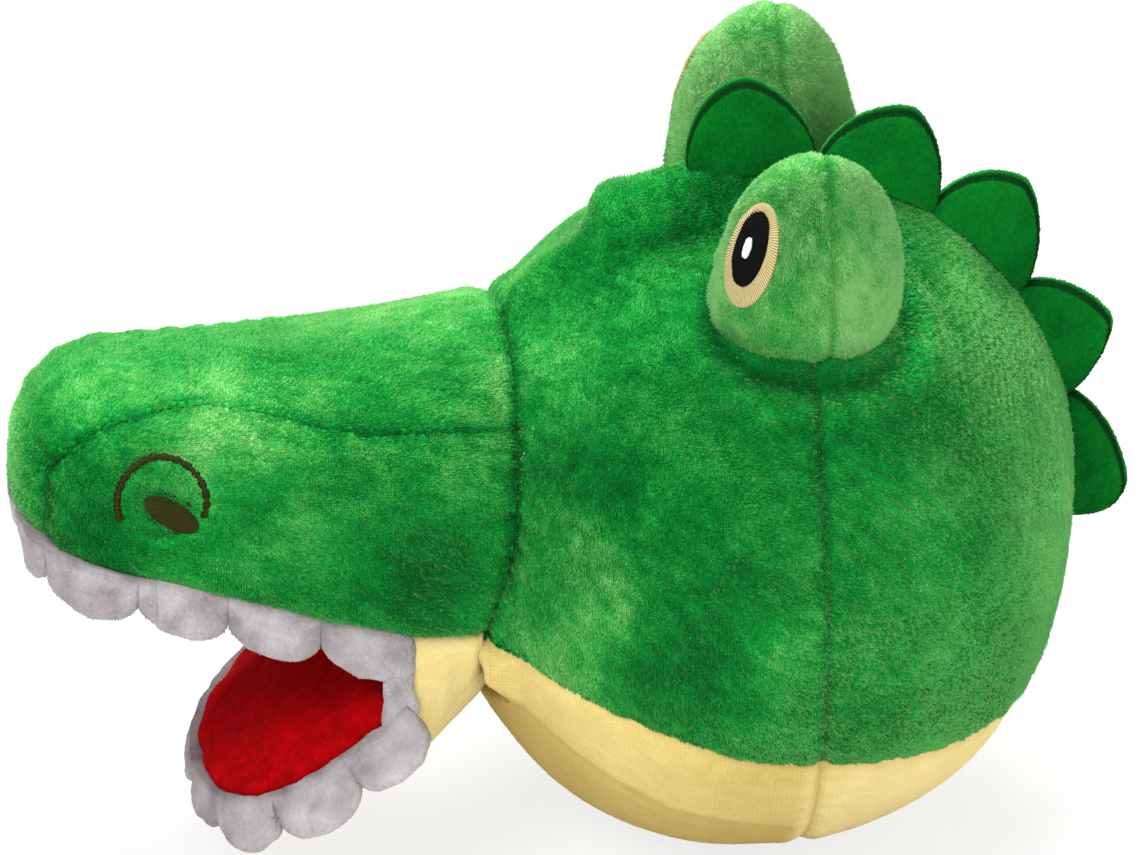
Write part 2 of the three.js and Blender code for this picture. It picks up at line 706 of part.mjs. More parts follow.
function eyes() {
  const form = moundForm();
  const off_head = solidOf(moved(head_form, seam_gap));
  const side_seam_here = seam([[mound_seam_place, 0], [mound_seam_place, sky]]);
  const skin = cut(solidOf(form), solidOf(moved(form, -cloth)), off_head, side_seam_here);
  const front = block(mound_seam_place, front_reach, 0, sky);
  bothSides('eye_front', common(skin, front), green_velour);
  bothSides('eye_back', cut(skin, front), green_velour);
  bothSides('eye_stuffing', cut(solidOf(moved(form, -cloth - filling_gap)), off_head), fibre_filling);

  const centre = vec(mound_middle, -mound_place, eye_height);
  const pupil_centre = vec(mound_middle, -mound_place, pupil_height);
  const eyeShape = (width_share, height_share, grown = 0) => ellipse(
    mound_half_width * width_share,
    mound_rise_height * height_share,
    grown,
  );
  const iris_outline = eyeShape(iris_width_share, iris_height_share);
  const pupil = eyeShape(pupil_width_share, pupil_height_share);
  const highlight = eyeShape(highlight_width_share, highlight_height_share);
  const iris_hole = eyeShape(pupil_width_share, pupil_height_share, thread_gap);
  const pupil_hole = eyeShape(highlight_width_share, highlight_height_share, thread_gap);
  const iris = embroider(form, iris_outline, centre, eye_turn, eye_tilt, iris_hole, pupil_centre);
  bothSides('iris', iris, gold_thread);
  bothSides('pupil', embroider(form, pupil, pupil_centre, eye_turn, eye_tilt, pupil_hole), black_thread);
  bothSides('eye_highlight', embroider(form, highlight, pupil_centre, eye_turn, eye_tilt), white_thread);
}

function nostrils() {
  const centre = vec(0, -nostril_place, nostril_height);
  const fill = ellipse(nostril_half_length, nostril_half_width);
  const [inner, outer] = [nostril_arc_radius - nostril_arc_width, nostril_arc_radius];
  const [start, end] = [nostril_arc_start * degree, nostril_arc_end * degree];
  const arc_centre = vec(0, -nostril_place - nostril_arc_shift, nostril_height + nostril_arc_rise);
  const arc = new THREE.Shape().absarc(0, 0, outer, start, end);
  arc.absarc(0, 0, inner, end, start, true);
  bothSides('nostril', embroider(snout_form, fill, centre, 0, nostril_tilt), olive_thread);
  bothSides('nostril_line', embroider(snout_form, arc, arc_centre, 0, 0), olive_thread);
}

function lowerJaw() {
  const form = jawForm();
  const edge = [[jaw_corner_place, sky]];
  for (let i = 0; i <= seam_steps; i += 1) {
    const place = mix(jaw_corner_place, jaw_length, i / seam_steps);
    edge.push([place, jawEdge(place)]);
  }
  edge.push([jaw_length + overrun, jawEdge(jaw_length)]);
  const above_edge = across([...edge, [jaw_length + overrun, sky]]);
  const sewn_teeth = toothStrip(lower_edge, { ...lower_size, length: lower_valley_length }, seam_gap);
  const skin = cut(solidOf(form), solidOf(moved(form, -cloth)), seam(edge), sewn_teeth);
  piece(jaw, 'jaw_lining', common(skin, above_edge), red_velour);
  piece(jaw, 'jaw_underside', largest(cut(skin, above_edge)), cream_velour);
  piece(jaw, 'jaw_stuffing', solidOf(moved(form, -cloth - jaw_filling_gap)), fibre_filling);
  piece(jaw, 'lower_teeth', toothStrip(lower_edge, lower_size), white_fleece);
}

headAndSnout();
eyes();
nostrils();
lowerJaw();

export default toy;
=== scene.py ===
# %% [markdown]
# # Alligator head stress toy
# A sewn toy is a bag of cloth panels pulled tight over its filling. So this lesson builds one smooth body,
# cuts it along the seams into panels, and only then raises the pile on each panel. Everything is worked out
# in millimetres, and each finished mesh is scaled to metres at the very end.

# %% Load the frame
import json
import math

import bmesh
import bpy
import numpy as np
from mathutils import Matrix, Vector
from mathutils.bvhtree import BVHTree

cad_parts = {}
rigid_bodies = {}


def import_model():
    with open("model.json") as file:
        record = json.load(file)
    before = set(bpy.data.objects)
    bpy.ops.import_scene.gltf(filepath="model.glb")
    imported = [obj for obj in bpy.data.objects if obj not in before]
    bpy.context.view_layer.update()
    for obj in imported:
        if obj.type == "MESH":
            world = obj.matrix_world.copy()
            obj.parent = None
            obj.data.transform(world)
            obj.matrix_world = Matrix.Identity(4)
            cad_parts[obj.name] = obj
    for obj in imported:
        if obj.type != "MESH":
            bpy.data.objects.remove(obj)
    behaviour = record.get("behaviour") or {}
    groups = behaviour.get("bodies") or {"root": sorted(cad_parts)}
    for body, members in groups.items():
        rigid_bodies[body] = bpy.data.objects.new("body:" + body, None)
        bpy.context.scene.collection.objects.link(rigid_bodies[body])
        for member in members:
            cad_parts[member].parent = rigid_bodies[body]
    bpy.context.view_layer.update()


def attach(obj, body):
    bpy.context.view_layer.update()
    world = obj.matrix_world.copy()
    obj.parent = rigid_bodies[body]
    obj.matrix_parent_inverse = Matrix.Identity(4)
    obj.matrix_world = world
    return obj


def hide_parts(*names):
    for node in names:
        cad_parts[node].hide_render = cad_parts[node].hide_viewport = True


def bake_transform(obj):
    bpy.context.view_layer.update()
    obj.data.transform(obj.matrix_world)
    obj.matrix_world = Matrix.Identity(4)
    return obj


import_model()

# %% [markdown]
# The camera stands where the photographer's stood: level with the toy's left side, a little towards the
# snout, and looking down by 27 degrees. The picture hardly narrows with distance, which means a long lens
# far away, so the camera stands 6 m off.

# %% Camera
MM = 0.001
PHOTO_WIDTH, MM_PER_PIXEL = 1139, 0.174
SENSOR_WIDTH = 36
TURN, RISE = math.radians(8), math.radians(27)
LOOKED_AT, ASIDE, ABOVE = Vector((0, 0, 56.5)), -31.9, 16.1
DISTANCE = 6000


def add_object(name, data):
    thing = bpy.data.objects.new(name, data)
    bpy.context.scene.collection.objects.link(thing)
    return thing


toward_camera = Vector((math.cos(RISE) * math.cos(TURN), -math.cos(RISE) * math.sin(TURN), math.sin(RISE)))
screen_right = Vector((math.sin(TURN), math.cos(TURN), 0))
screen_up = toward_camera.cross(screen_right)
middle_of_frame = LOOKED_AT + ASIDE * screen_right + ABOVE * screen_up

camera = add_object("camera", bpy.data.cameras.new("camera"))
camera.location = (middle_of_frame + DISTANCE * toward_camera) * MM
camera.rotation_euler = toward_camera.to_track_quat("Z", "Y").to_euler()
camera.data.sensor_width = SENSOR_WIDTH
camera.data.lens = SENSOR_WIDTH * DISTANCE / (PHOTO_WIDTH * MM_PER_PIXEL)
camera.data.clip_start, camera.data.clip_end = 1, 20
bpy.context.scene.camera = camera
print("lens:", round(camera.data.lens), "mm")

# %% [markdown]
# Plush is made up of rounded shapes that are neither balls nor boxes. Two small curves draw them all: `rim`
# is the outline of such a shape, and `swell` turns a sine wave into its fuller or slimmer relative.

# %% Curves of soft shapes
def rim(share, fullness):
    return np.maximum(1 - np.abs(share) ** fullness, 0) ** (1 / fullness)


def swell(wave, fullness):
    return np.sign(wave) * np.abs(wave) ** (2 / fullness)


def mix(low, high, share):
    return low + (high - low) * share


def bell(distance, width):
    return np.exp(-(distance / width) ** 2)


def smooth_step(low, high, value):
    share = np.clip((value - low) / (high - low), 0, 1)
    return share * share * (3 - 2 * share)


def spots(*coordinates):
    """Joins one array for each coordinate into rows of places or directions."""
    return np.stack(coordinates, axis=-1)


print("height of a rim half way out, round and full:", round(rim(0.5, 2), 2), round(rim(0.5, 6), 2))

# %% [markdown]
# The head is an egg-like ball with a low ridge along the crown, where the spine is sewn in. The snout starts
# inside it, and a short thick lobe carries the belly forward beside the fold of the jaw. Each form takes
# points of a ball of radius 1 and moves them onto the toy; `tube` draws the ball out along the toy. A place
# is a distance forward of the middle, so it counts against the frame's Y.

# %% Forms of the head, the snout, the belly's front and the eye mounds
HEAD_HALF = (55, 55.5)
HEAD_MIDDLE = 61.94
HEAD_RISE, HEAD_DROP = 58.5, 63
RIDGE_HEIGHT, RIDGE_HALF_WIDTH = 5.5, 17
SNOUT_BACK, SNOUT_SEAM, TIP, CAP = 29, 45, 130, 22
SNOUT_TOPS = (108, 101.2, 97)  # inside the head, at the seam and at the nose
SNOUT_HALF_WIDTHS = (34, 29, 24.5)
MOUTH_CORNER, LIP_FOLD, LIP_ROOT, LIP_NOSE = 63, 48.8, 49.8, 63.4
LOBE_BACK, LOBE_FRONT, LOBE_CAP = 28, 53.2, 2.2
LOBE_MIDDLE, LOBE_HALF_WIDTH, LOBE_RISE = 45, 28.4, 4.5
LOBE_BOTTOM = ([28, 47, 48.5, 50, 53.2], [30, 32.5, 34.8, 36.8, 41])
MOUND_MIDDLE, MOUND_HALF, MOUND_LEAN, MOUND_FULLNESS = (27, 5), (12, 16.5), (3, 1.4), 2.05
MOUND_WAIST, MOUND_TOP, MOUND_FOOT = 113, 141.3, 100
ALMOST_NOTHING, POLE = 1e-6, 0.01


def head_point(x, back, up, proud=0):
    """A point of the head's surface: x from the middle, and the direction seen from the side."""
    fullness = np.where(up < 0, 2.12, 2.0)
    y = swell(back, fullness) * HEAD_HALF[1]
    z = swell(up, fullness) * np.where(up < 0, HEAD_DROP, HEAD_RISE)
    fade = np.clip(1 - np.abs(x) / RIDGE_HALF_WIDTH, 0, 1) ** 2
    lift = RIDGE_HEIGHT * fade * np.clip(up, 0, 1) + proud
    grown = rim(x / HEAD_HALF[0], 2) * (1 + lift / np.hypot(y, z))
    return spots(x + 0 * y, y * grown, HEAD_MIDDLE + z * grown)


def head_form(ball):
    level = np.maximum(np.hypot(ball[:, 1], ball[:, 2]), ALMOST_NOTHING)
    return head_point(ball[:, 0] * HEAD_HALF[0], ball[:, 1] / level, ball[:, 2] / level)


def tube(ball, back, front, section, fullness_below, fullness_above):
    """section gives each place its middle height, half width, and heights above and below the middle."""
    place = mix(back, front, (1 - ball[:, 1]) / 2)
    level = np.maximum(np.hypot(ball[:, 0], ball[:, 2]), ALMOST_NOTHING)
    out, up = ball[:, 0] / level, ball[:, 2] / level
    middle, half_width, above, below = section(place)
    fullness = np.where(up < 0, fullness_below, fullness_above)
    x = swell(out, fullness) * half_width * (level > POLE)
    z = middle + swell(up, fullness) * np.where(up < 0, below, above) * (level > POLE)
    return spots(x, -place, z)


def rounded_end(place, front, length, fullness=2.3):
    return rim(np.clip((place - front + length) / length, 0, 1), fullness)


def lip_height(place):
    share = np.maximum(place - MOUTH_CORNER, 0) / (TIP - CAP - MOUTH_CORNER)
    return mix(LIP_ROOT, LIP_NOSE, share)


def snout_section(place):
    behind = np.maximum(SNOUT_SEAM - place, 0) / (SNOUT_SEAM - SNOUT_BACK)
    along = np.clip((place - SNOUT_SEAM) / (TIP - CAP - SNOUT_SEAM), 0, 1)
    top, half_width = (mix(mix(seam, nose, along), inside, behind)
                       for inside, seam, nose in (SNOUT_TOPS, SNOUT_HALF_WIDTHS))
    top = top - 1.2 * np.sin(np.pi * along) ** 2
    floor = lip_height(np.minimum(place, TIP - CAP)) - 2
    middle = mix(floor, top, 0.45)
    cap = rounded_end(place, TIP, CAP)
    return middle, half_width * cap, (top - middle) * cap, (middle - floor) * cap


def lobe_section(place):
    cap = rounded_end(place, LOBE_FRONT, LOBE_CAP)
    drop = LOBE_MIDDLE - np.interp(place, *LOBE_BOTTOM)
    return LOBE_MIDDLE, LOBE_HALF_WIDTH * cap, LOBE_RISE * cap, drop * cap


def snout_form(ball):
    return tube(ball, SNOUT_BACK, TIP, snout_section, 6, 2.2)


def lobe_form(ball):
    return tube(ball, LOBE_BACK, LOBE_FRONT, lobe_section, 3.2, 5)


def mound_form(ball):
    up = ball[:, 2]
    level = np.maximum(np.hypot(ball[:, 0], ball[:, 1]), ALMOST_NOTHING)
    share = swell(level, MOUND_FULLNESS)
    height = np.where(up < 0, MOUND_FOOT, MOUND_TOP) - MOUND_WAIST
    x, y = (MOUND_MIDDLE[n] + MOUND_LEAN[n] * np.clip(up, 0, 1) + share * MOUND_HALF[n] * ball[:, n] / level
            for n in (0, 1))
    return spots(x, y, MOUND_WAIST + height * swell(np.abs(up), MOUND_FULLNESS))


print("snout:", TIP - SNOUT_SEAM, "mm beyond its seam; eye mounds:", 2 * MOUND_HALF[1], "mm long")

# %% [markdown]
# A few helpers carry points between a mesh and an array, because a whole array of points can be moved at
# once. `remeshed` wraps a shape in a new skin of even faces, which joins the head and the snout as the
# stretched cloth does.

# %% Mesh helpers
FINE = 1.0
BODY_VOXEL = 1.5 * FINE


def points_of(bm):
    return np.array([v.co[:] for v in bm.verts])


def move_to(bm, points):
    for vert, point in zip(bm.verts, points):
        vert.co = point


def ball(steps, form):
    bm = bmesh.new()
    bmesh.ops.create_icosphere(bm, subdivisions=steps, radius=1)
    move_to(bm, form(points_of(bm)))
    return bm


def remeshed(shapes, voxel, smoothing):
    """One even skin round several closed shapes."""
    joined = bpy.data.meshes.new("joined")
    whole = bmesh.new()
    for shape in shapes:
        shape.to_mesh(joined)
        whole.from_mesh(joined)
    whole.to_mesh(joined)
    body = add_object("joined", joined)
    skin = body.modifiers.new("skin", "REMESH")
    skin.mode, skin.voxel_size = "VOXEL", voxel
    made = bpy.data.meshes.new_from_object(body.evaluated_get(bpy.context.evaluated_depsgraph_get()))
    whole.clear()
    whole.from_mesh(made)
    bpy.data.objects.remove(body)
    bpy.data.meshes.remove(joined)
    bpy.data.meshes.remove(made)
    for _ in range(smoothing):
        bmesh.ops.smooth_vert(whole, verts=whole.verts, factor=0.5,
                              use_axis_x=True, use_axis_y=True, use_axis_z=True)
    return whole


body_bm = remeshed([ball(6, head_form), ball(6, snout_form), ball(5, lobe_form)], BODY_VOXEL, 4)
print("body:", len(body_bm.faces), "faces")

# %% [markdown]
# Cloth takes on a seam's line wherever it is sewn. The seams are drawn in side view as rows of
# [place, height] points, and the body is cut along each one by planes that stand across the toy. The seam
# between head and snout bends forward at its lower end, to meet the belly beside the corner of the mouth. A
# face is then known by the side of each seam that its middle is on.

# %% Seams
SIDE_SEAM = 5
NOSE_SEAM = TIP - 4
CURVE_STEPS = 12
NEAR_SEAM = 2
SNAP = 0.02


def curve_through(points):
    """A smooth row of points through a few given ones."""
    points = np.array([points[0], *points, points[-1]], float)
    count = max(2, CURVE_STEPS // (len(points) - 3))
    rows = []
    for i in range(1, len(points) - 2):
        a, b, c, d = points[i - 1:i + 3]
        for t in np.arange(count) / count:
            rows.append(0.5 * (2 * b + (c - a) * t + (2 * a - 5 * b + 4 * c - d) * t ** 2
                               + (3 * b - a - 3 * c + d) * t ** 3))
    return np.array([*rows, points[-2]])


def along_snout(share):
    return mix(SNOUT_SEAM, TIP, share)


funnel_seam = np.array([[SNOUT_SEAM, 120],
                        *curve_through([[SNOUT_SEAM, 92], [45.9, 77], [47.4, 65], [50.4, 52.7], [52, 46]])])
belly_seam = curve_through([[51.5, 50.2], [45, 47.4], [21, 39.3], [0, 33.5], [-60.5, 26]])
# Below this line the cream cloth turns under, with a soft crease, and is painted darker as painted shade.
low_crease = np.array([[53, 41], [35, 29.5], [20, 20.5], [0, 15], [-60, 15]])
lip_seam = np.array([[45, LIP_FOLD], [MOUTH_CORNER, LIP_ROOT], [TIP + 5, lip_height(TIP + 5)]])
top_curve = curve_through([[45, 90], [along_snout(0.3), 89.5], [along_snout(0.62), 94],
                           [along_snout(0.85), 91], [NOSE_SEAM, 83]])
top_seam = np.array([*top_curve, [NOSE_SEAM, lip_height(NOSE_SEAM)]])


def height_on(seam, place):
    row = seam[np.argsort(seam[:, 0])]
    return np.interp(place, row[:, 0], row[:, 1])


def place_on(seam, height):
    row = seam[np.argsort(seam[:, 1])]
    return np.interp(height, row[:, 1], row[:, 0])


def distance_to(seam, points):
    """How far points are from a seam in side view, and how far along it they are."""
    spot = spots(-points[:, 1], points[:, 2])
    best, along, length = np.full(len(spot), 1e9), np.zeros(len(spot)), 0
    for start, end in zip(seam[:-1], seam[1:]):
        step = end - start
        share = np.clip(((spot - start) @ step) / (step @ step), 0, 1)
        gap = np.linalg.norm(spot - start - share[:, None] * step, axis=1)
        nearer = gap < best
        best[nearer] = gap[nearer]
        along[nearer] = (length + share * np.linalg.norm(step))[nearer]
        length += np.linalg.norm(step)
    return best, along


def faces_where(bm, test):
    return [face for face in bm.faces if test(face.calc_center_median())]


def bisect(bm, faces, spot, normal):
    edges = {edge for face in faces for edge in face.edges}
    verts = {vert for face in faces for vert in face.verts}
    bmesh.ops.bisect_plane(bm, geom=[*faces, *edges, *verts], plane_co=spot, plane_no=normal, dist=SNAP)


def cut_along(bm, seam):
    """Cuts the faces that are near each straight stretch of a seam."""
    for start, end in zip(seam[:-1], seam[1:]):
        low, high = np.minimum(start, end) - NEAR_SEAM, np.maximum(start, end) + NEAR_SEAM
        faces = faces_where(bm, lambda p: low[0] <= -p.y <= high[0] and low[1] <= p.z <= high[1])
        normal = Vector((0, start[0] - end[0], end[1] - start[1])).cross((1, 0, 0))
        if faces:
            bisect(bm, faces, (0, -start[0], start[1]), normal)


print("points of the seams:", [len(seam) for seam in (funnel_seam, belly_seam, top_seam, lip_seam)])

# %% [markdown]
# The lower jaw folds in a dip in the belly's front. The dip is pressed into the body before it is cut, and
# the bottom is pressed flat where the toy rests. The direction of the cloth at each point is stored before
# the cuts, so that two panels that meet in a seam rise the same way along it.

# %% Press the fold and the resting flat, then cut the seams
FOLD = (57, 37.4)
FOLD_RADIUS, FOLD_HALF_WIDTH = 10, 25
FOLD_GAP, FOLD_EDGE = 0.3, 1.2
LINING_END, LINING_HALF_WIDTH, THROAT_WALL = 50, 24.5, 54
WELD = 0.06


def store_normals(bm, turned=lambda normals: normals):
    bm.normal_update()
    layer = bm.verts.layers.float_vector.new("rest_normal")
    for vert, normal in zip(bm.verts, turned(np.array([v.normal[:] for v in bm.verts]))):
        vert[layer] = normal


def part_of(bm, kept):
    """A copy of a mesh with only the faces that are marked True."""
    copy = bm.copy()
    others = [face for face, keep in zip(copy.faces, kept) if not keep]
    bmesh.ops.delete(copy, geom=others, context="FACES")
    return copy


body = points_of(body_bm)
drop = body[:, 2] - FOLD[1]
inside_fold = np.clip(1 - (np.abs(body[:, 0]) - FOLD_HALF_WIDTH - FOLD_GAP) / FOLD_EDGE, 0, 1)
back_wall = -FOLD[0] + np.sqrt(np.maximum((FOLD_RADIUS + FOLD_GAP) ** 2 - drop ** 2, 0))
in_front = (np.abs(drop) < FOLD_RADIUS) & (body[:, 1] < back_wall) & (body[:, 1] > -FOLD[0] - FOLD_RADIUS)
body[:, 1] += np.where(in_front, (back_wall - body[:, 1]) * inside_fold, 0)
body[:, 2] = np.maximum(body[:, 2], 0)
move_to(body_bm, body)
store_normals(body_bm)

bisect(body_bm, body_bm.faces[:], (0, 0, 0), (1, 0, 0))
bisect(body_bm, body_bm.faces[:], (0, SIDE_SEAM, 0), (0, 1, 0))
for seam in (funnel_seam, belly_seam, top_curve, lip_seam):
    cut_along(body_bm, seam)
bisect(body_bm, faces_where(body_bm, lambda p: p.y < -SNOUT_SEAM), (0, -NOSE_SEAM, 0), (0, 1, 0))
throat = faces_where(body_bm, lambda p: -58 < p.y < -48 and 40 < p.z < 50)
bisect(body_bm, throat, (0, -LINING_END, 0), (0, 1, 0))
bmesh.ops.remove_doubles(body_bm, verts=body_bm.verts, dist=WELD)


def panel_of(p):
    place = -p.y
    side = "left" if p.x > 0 else "right"
    if place < place_on(funnel_seam, p.z):
        half = "front" if p.y < SIDE_SEAM else "back"
        return f"belly_{half}" if p.z < height_on(belly_seam, place) else f"head_{half}_{side}"
    if p.z < height_on(lip_seam, place):
        throat_side = place < THROAT_WALL and abs(p.x) > LINING_HALF_WIDTH
        return "belly_front" if place < LINING_END or throat_side or p.z < 43 else "palate_lining"
    if place > NOSE_SEAM or p.z > height_on(top_curve, place):
        return "snout_top_panel"
    return f"snout_side_{side}"


PANELS = ["head_front_left", "head_front_right", "head_back_left", "head_back_right", "belly_front",
          "belly_back", "snout_top_panel", "snout_side_left", "snout_side_right", "palate_lining"]
panel_of_face = [panel_of(face.calc_center_median()) for face in body_bm.faces]
print("cut body:", len(body_bm.faces), "faces in", len(set(panel_of_face)), "panels")

# %% [markdown]
# Velour pile is a field of tiny tufts that all lie down the same way. Where each one stands, how tall it is
# and how far it leans come from patterns that depend only on the place, so that each run makes the same toy
# and two panels meet along a seam without a crack.

# %% Patterns that work on whole arrays of points
CORNERS = np.array([[i, j, k] for i in (0, 1) for j in (0, 1) for k in (0, 1)])
SPECKS_PER_MM = 20


def strewn(cell, seed):
    """A number from 0 to 1 that depends only on the cell: large odd numbers shuffle its bits."""
    i, j, k = (cell[..., n].astype(np.int64).astype(np.uint32) for n in range(3))
    h = i * np.uint32(73856093) ^ j * np.uint32(19349663) ^ k * np.uint32(83492791)
    h = (h ^ np.uint32(seed * 7919)) * np.uint32(2654435761)
    h = (h ^ (h >> np.uint32(15))) * np.uint32(2246822519)
    return (h ^ (h >> np.uint32(13))).astype(np.float64) / 2 ** 32


def drift(points, size, seed):
    """A soft wandering value from -1 to 1, with waves about as long as size. Each seed gives another one."""
    spot = points / size
    cell = np.floor(spot)
    share = smooth_step(0, 1, spot - cell)
    total = 0
    for corner in CORNERS:
        weight = np.prod(np.where(corner, share, 1 - share), axis=1)
        total = total + weight * strewn(cell + corner, seed)
    return 2 * total - 1


def scatter(points, seed):
    """A number from 0 to 1 that is different at every point."""
    return strewn(np.floor(points * SPECKS_PER_MM), seed)


def combed(points, lie, stretch):
    """The same points, squeezed along the lie of the pile, which draws a pattern out along it."""
    lie = np.array(lie) / np.linalg.norm(lie)
    return points - (1 - 1 / stretch) * (points @ lie)[:, None] * lie


print("a drift at five points of the body:", drift(body[:5], 8, 13).round(2))

# %% [markdown]
# `pile_up` finishes any piece of plush. It takes an open patch of cloth, gives it a thickness, divides its
# outer face into cells of half a millimetre, or a little more where the pile is short, and pokes a tip into
# the middle of each, which is one tuft. The patch is then shaped by a `relief` in millimetres, and its tips
# are raised and combed over. How high each point stands in the pile is kept on the mesh, so that the
# material paints the roots darker than the tips, as painted shade between the tufts.

# %% Plush maker
BODY = "head_and_snout"
CLOTH = 1.2


def open_mesh(name, bm):
    mesh = bpy.data.meshes.new(name)
    bm.to_mesh(mesh)
    bm.free()
    return mesh


def read(items, name, kind=float):
    """The same value of many items, three numbers wide where it is a place or a direction."""
    wide = {"co": 3, "vector": 3, "vertices": 2}.get(name, 1)
    values = np.empty(len(items) * wide, kind)
    items.foreach_get(name, values)
    return values.reshape(-1, wide) if wide > 1 else values


def attribute(mesh, name, values):
    layer = mesh.attributes.new(name, "FLOAT", "POINT")
    layer.data.foreach_set("value", np.asarray(values, np.float32))


def finish_piece(name, mesh, body, slot, nodes):
    """Scales a mesh from millimetres to metres, gives it its finish and hangs it on a body of the frame.
    Where body isn't a name it is two points between the head and the jaw, which are not used, and the piece
    hangs on no body."""
    mesh.vertices.foreach_set("co", (read(mesh.vertices, "co", np.float32) * MM).ravel())
    mesh.materials.append(FINISHES[slot])
    mesh.shade_smooth()
    mesh.update()
    piece = add_object(name, mesh)
    if isinstance(body, str):
        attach(piece, body)
    else:
        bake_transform(piece)
    if nodes:
        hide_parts(*nodes)
    print(f"{name}: {sum(len(p.vertices) - 2 for p in mesh.polygons)} triangles")


def closed_cloth(bm, cuts):
    """Gives an open patch a thickness, divides its outer faces, and pokes a tip into each."""
    outside = bm.verts.layers.float.new("outside")
    outer_verts = set(bm.verts)
    bmesh.ops.solidify(bm, geom=bm.faces[:], thickness=CLOTH)
    for vert in bm.verts:
        vert[outside] = 1.0 if vert in outer_verts else 0.0
    edges = list({edge for face in bm.faces if outer_verts.issuperset(face.verts) for edge in face.edges})
    bmesh.ops.subdivide_edges(bm, edges=edges, cuts=cuts, use_grid_fill=True)
    cells = [face for face in bm.faces if all(vert[outside] > 0.99 for vert in face.verts)]
    for vert in bmesh.ops.poke(bm, faces=cells)["verts"]:
        vert[outside] = 2.0
    return bm


def pile_normals(mesh, stored, tips):
    """Gives each tip the mean of the directions stored at the points round it."""
    ends = read(mesh.edges, "vertices", np.int32)
    total = np.where(tips[:, None], 0.0, stored)
    for here, there in ((0, 1), (1, 0)):
        inner = tips[ends[:, here]]
        for axis in range(3):
            total[:, axis] += np.bincount(ends[inner, here], stored[ends[inner, there], axis], len(stored))
    return total / (np.linalg.norm(total, axis=1)[:, None] + 1e-9)


def raised(points, normals, tips, pile):
    """The pile: how each point is moved, and how high it stands from 0 at the root to 1 at the tip."""
    lie = np.array(pile["lie"], float)
    lie /= np.linalg.norm(lie)
    flow = lie - normals * (normals @ lie)[:, None]
    chance, patch = scatter(points, 11), drift(combed(points, lie, 2.2), 1.5, 12)
    stand = np.where(tips, 0.62 + 0.38 * chance, 0.30 * chance) + 0.22 * patch
    stand = stand * (1 + 0.25 * drift(points, 8, 13))
    height = pile["height"] * (pile["thin"](points) if "thin" in pile else 1)
    aside = spots(*(scatter(points, 14 + n) for n in range(3))) - 0.5
    swirl = 0.5 * spots(*(drift(points, 12, 17 + n) for n in range(3)))
    move = (height * (stand - 0.4))[:, None] * normals
    move = move + (height * stand * pile["lean"])[:, None] * (flow + swirl)
    move = move + pile.get("stray", 0.4) * mix(0.4, 1, tips)[:, None] * aside
    return move, np.clip(stand, 0, 1)


def pile_up(name, bm, relief, pile):
    """pile: height, lie and lean of the tufts. Where they differ from the usual it also has how far tufts
    stray, a function that thins them, and the cuts across a face."""
    mesh = open_mesh(name, closed_cloth(bm, pile.get("cuts", 2)))
    outside = read(mesh.attributes["outside"].data, "value")
    tips, outside = outside > 1.5, np.minimum(outside, 1)
    points = read(mesh.vertices, "co")
    normals = pile_normals(mesh, read(mesh.attributes["rest_normal"].data, "vector"), tips)
    rest = points + normals * CLOTH * (1 - outside)[:, None]
    shape, shade = relief(rest, normals)
    move, stand = raised(rest, normals, tips, pile)
    points = points + normals * shape[:, None] + move * outside[:, None]
    mesh.vertices.foreach_set("co", points.astype(np.float32).ravel())
    attribute(mesh, "tip", stand)
    attribute(mesh, "shade", shade)
    return mesh


print("cloth:", CLOTH, "mm thick")

# %% [markdown]
# ## Finishes
# Each finish is named for what it is. Colours are the sRGB values that a maker's swatch would give, and one
# function turns them into the linear values that Blender mixes. Velour is rough and has a strong sheen: its
# fibre tips catch light at a glancing angle, so the toy's edges look paler than its middle.

# %% Node helpers
def linear(hex_colour):
    parts = [int(hex_colour[i:i + 2], 16) / 255 for i in (1, 3, 5)]
    return (*[c / 12.92 if c <= 0.04045 else ((c + 0.055) / 1.055) ** 2.4 for c in parts], 1)


def add_node(material, kind, settings=None, links=None):
    """Adds a node. Settings are for its properties, sockets and colour stops; links join its sockets."""
    node = material.node_tree.nodes.new(f"ShaderNode{kind}")
    for key, value in (settings or {}).items():
        if key == "stops":
            elements = node.color_ramp.elements
            while len(elements) < len(value):
                elements.new(0.5)
            for element, (position, colour) in zip(elements, value):
                element.position, element.color = position, linear(colour)
        elif isinstance(key, str) and hasattr(node, key):
            setattr(node, key, value)
        else:
            node.inputs[key].default_value = value
    for key, output in (links or {}).items():
        material.node_tree.links.new(node.inputs[key], output)
    return node


def emptied(material):
    material.use_nodes = True
    material.node_tree.nodes.clear()
    return material


def noise(material, size, detail, distortion=0.0):
    """A pattern that stays with the piece, with features of about a size in metres."""
    spot = add_node(material, "TexCoord").outputs["Object"]
    settings = {"Scale": 1 / size, "Detail": detail, "Distortion": distortion}
    return add_node(material, "TexNoise", settings, {"Vector": spot}).outputs["Fac"]


def stored(material, name):
    return add_node(material, "Attribute", {"attribute_name": name}).outputs["Fac"]


def reckoned(material, operation, *values):
    """A sum whose values are numbers or outputs."""
    numbers = {n: value for n, value in enumerate(values) if isinstance(value, (int, float))}
    outputs = {n: value for n, value in enumerate(values) if n not in numbers}
    return add_node(material, "Math", {"operation": operation, **numbers}, outputs).outputs[0]


def surfaced(material, places, colours, value, grain, strength, depth, settings):
    """Colours a value by a row of stops, raises the grain as a bump, and joins both to one shader."""
    stops = {"stops": list(zip(places, colours.split()))}
    colour = add_node(material, "ValToRGB", stops, {"Fac": value})
    bump = add_node(material, "Bump", {"Strength": strength, "Distance": depth}, {"Height": grain})
    shader = add_node(material, "BsdfPrincipled", settings,
                      {"Base Color": colour.outputs["Color"], "Normal": bump.outputs["Normal"]})
    add_node(material, "OutputMaterial", None, {"Surface": shader.outputs[0]})
    return material


print("leaf green in linear values:", [round(part, 3) for part in linear("#0E9238")])
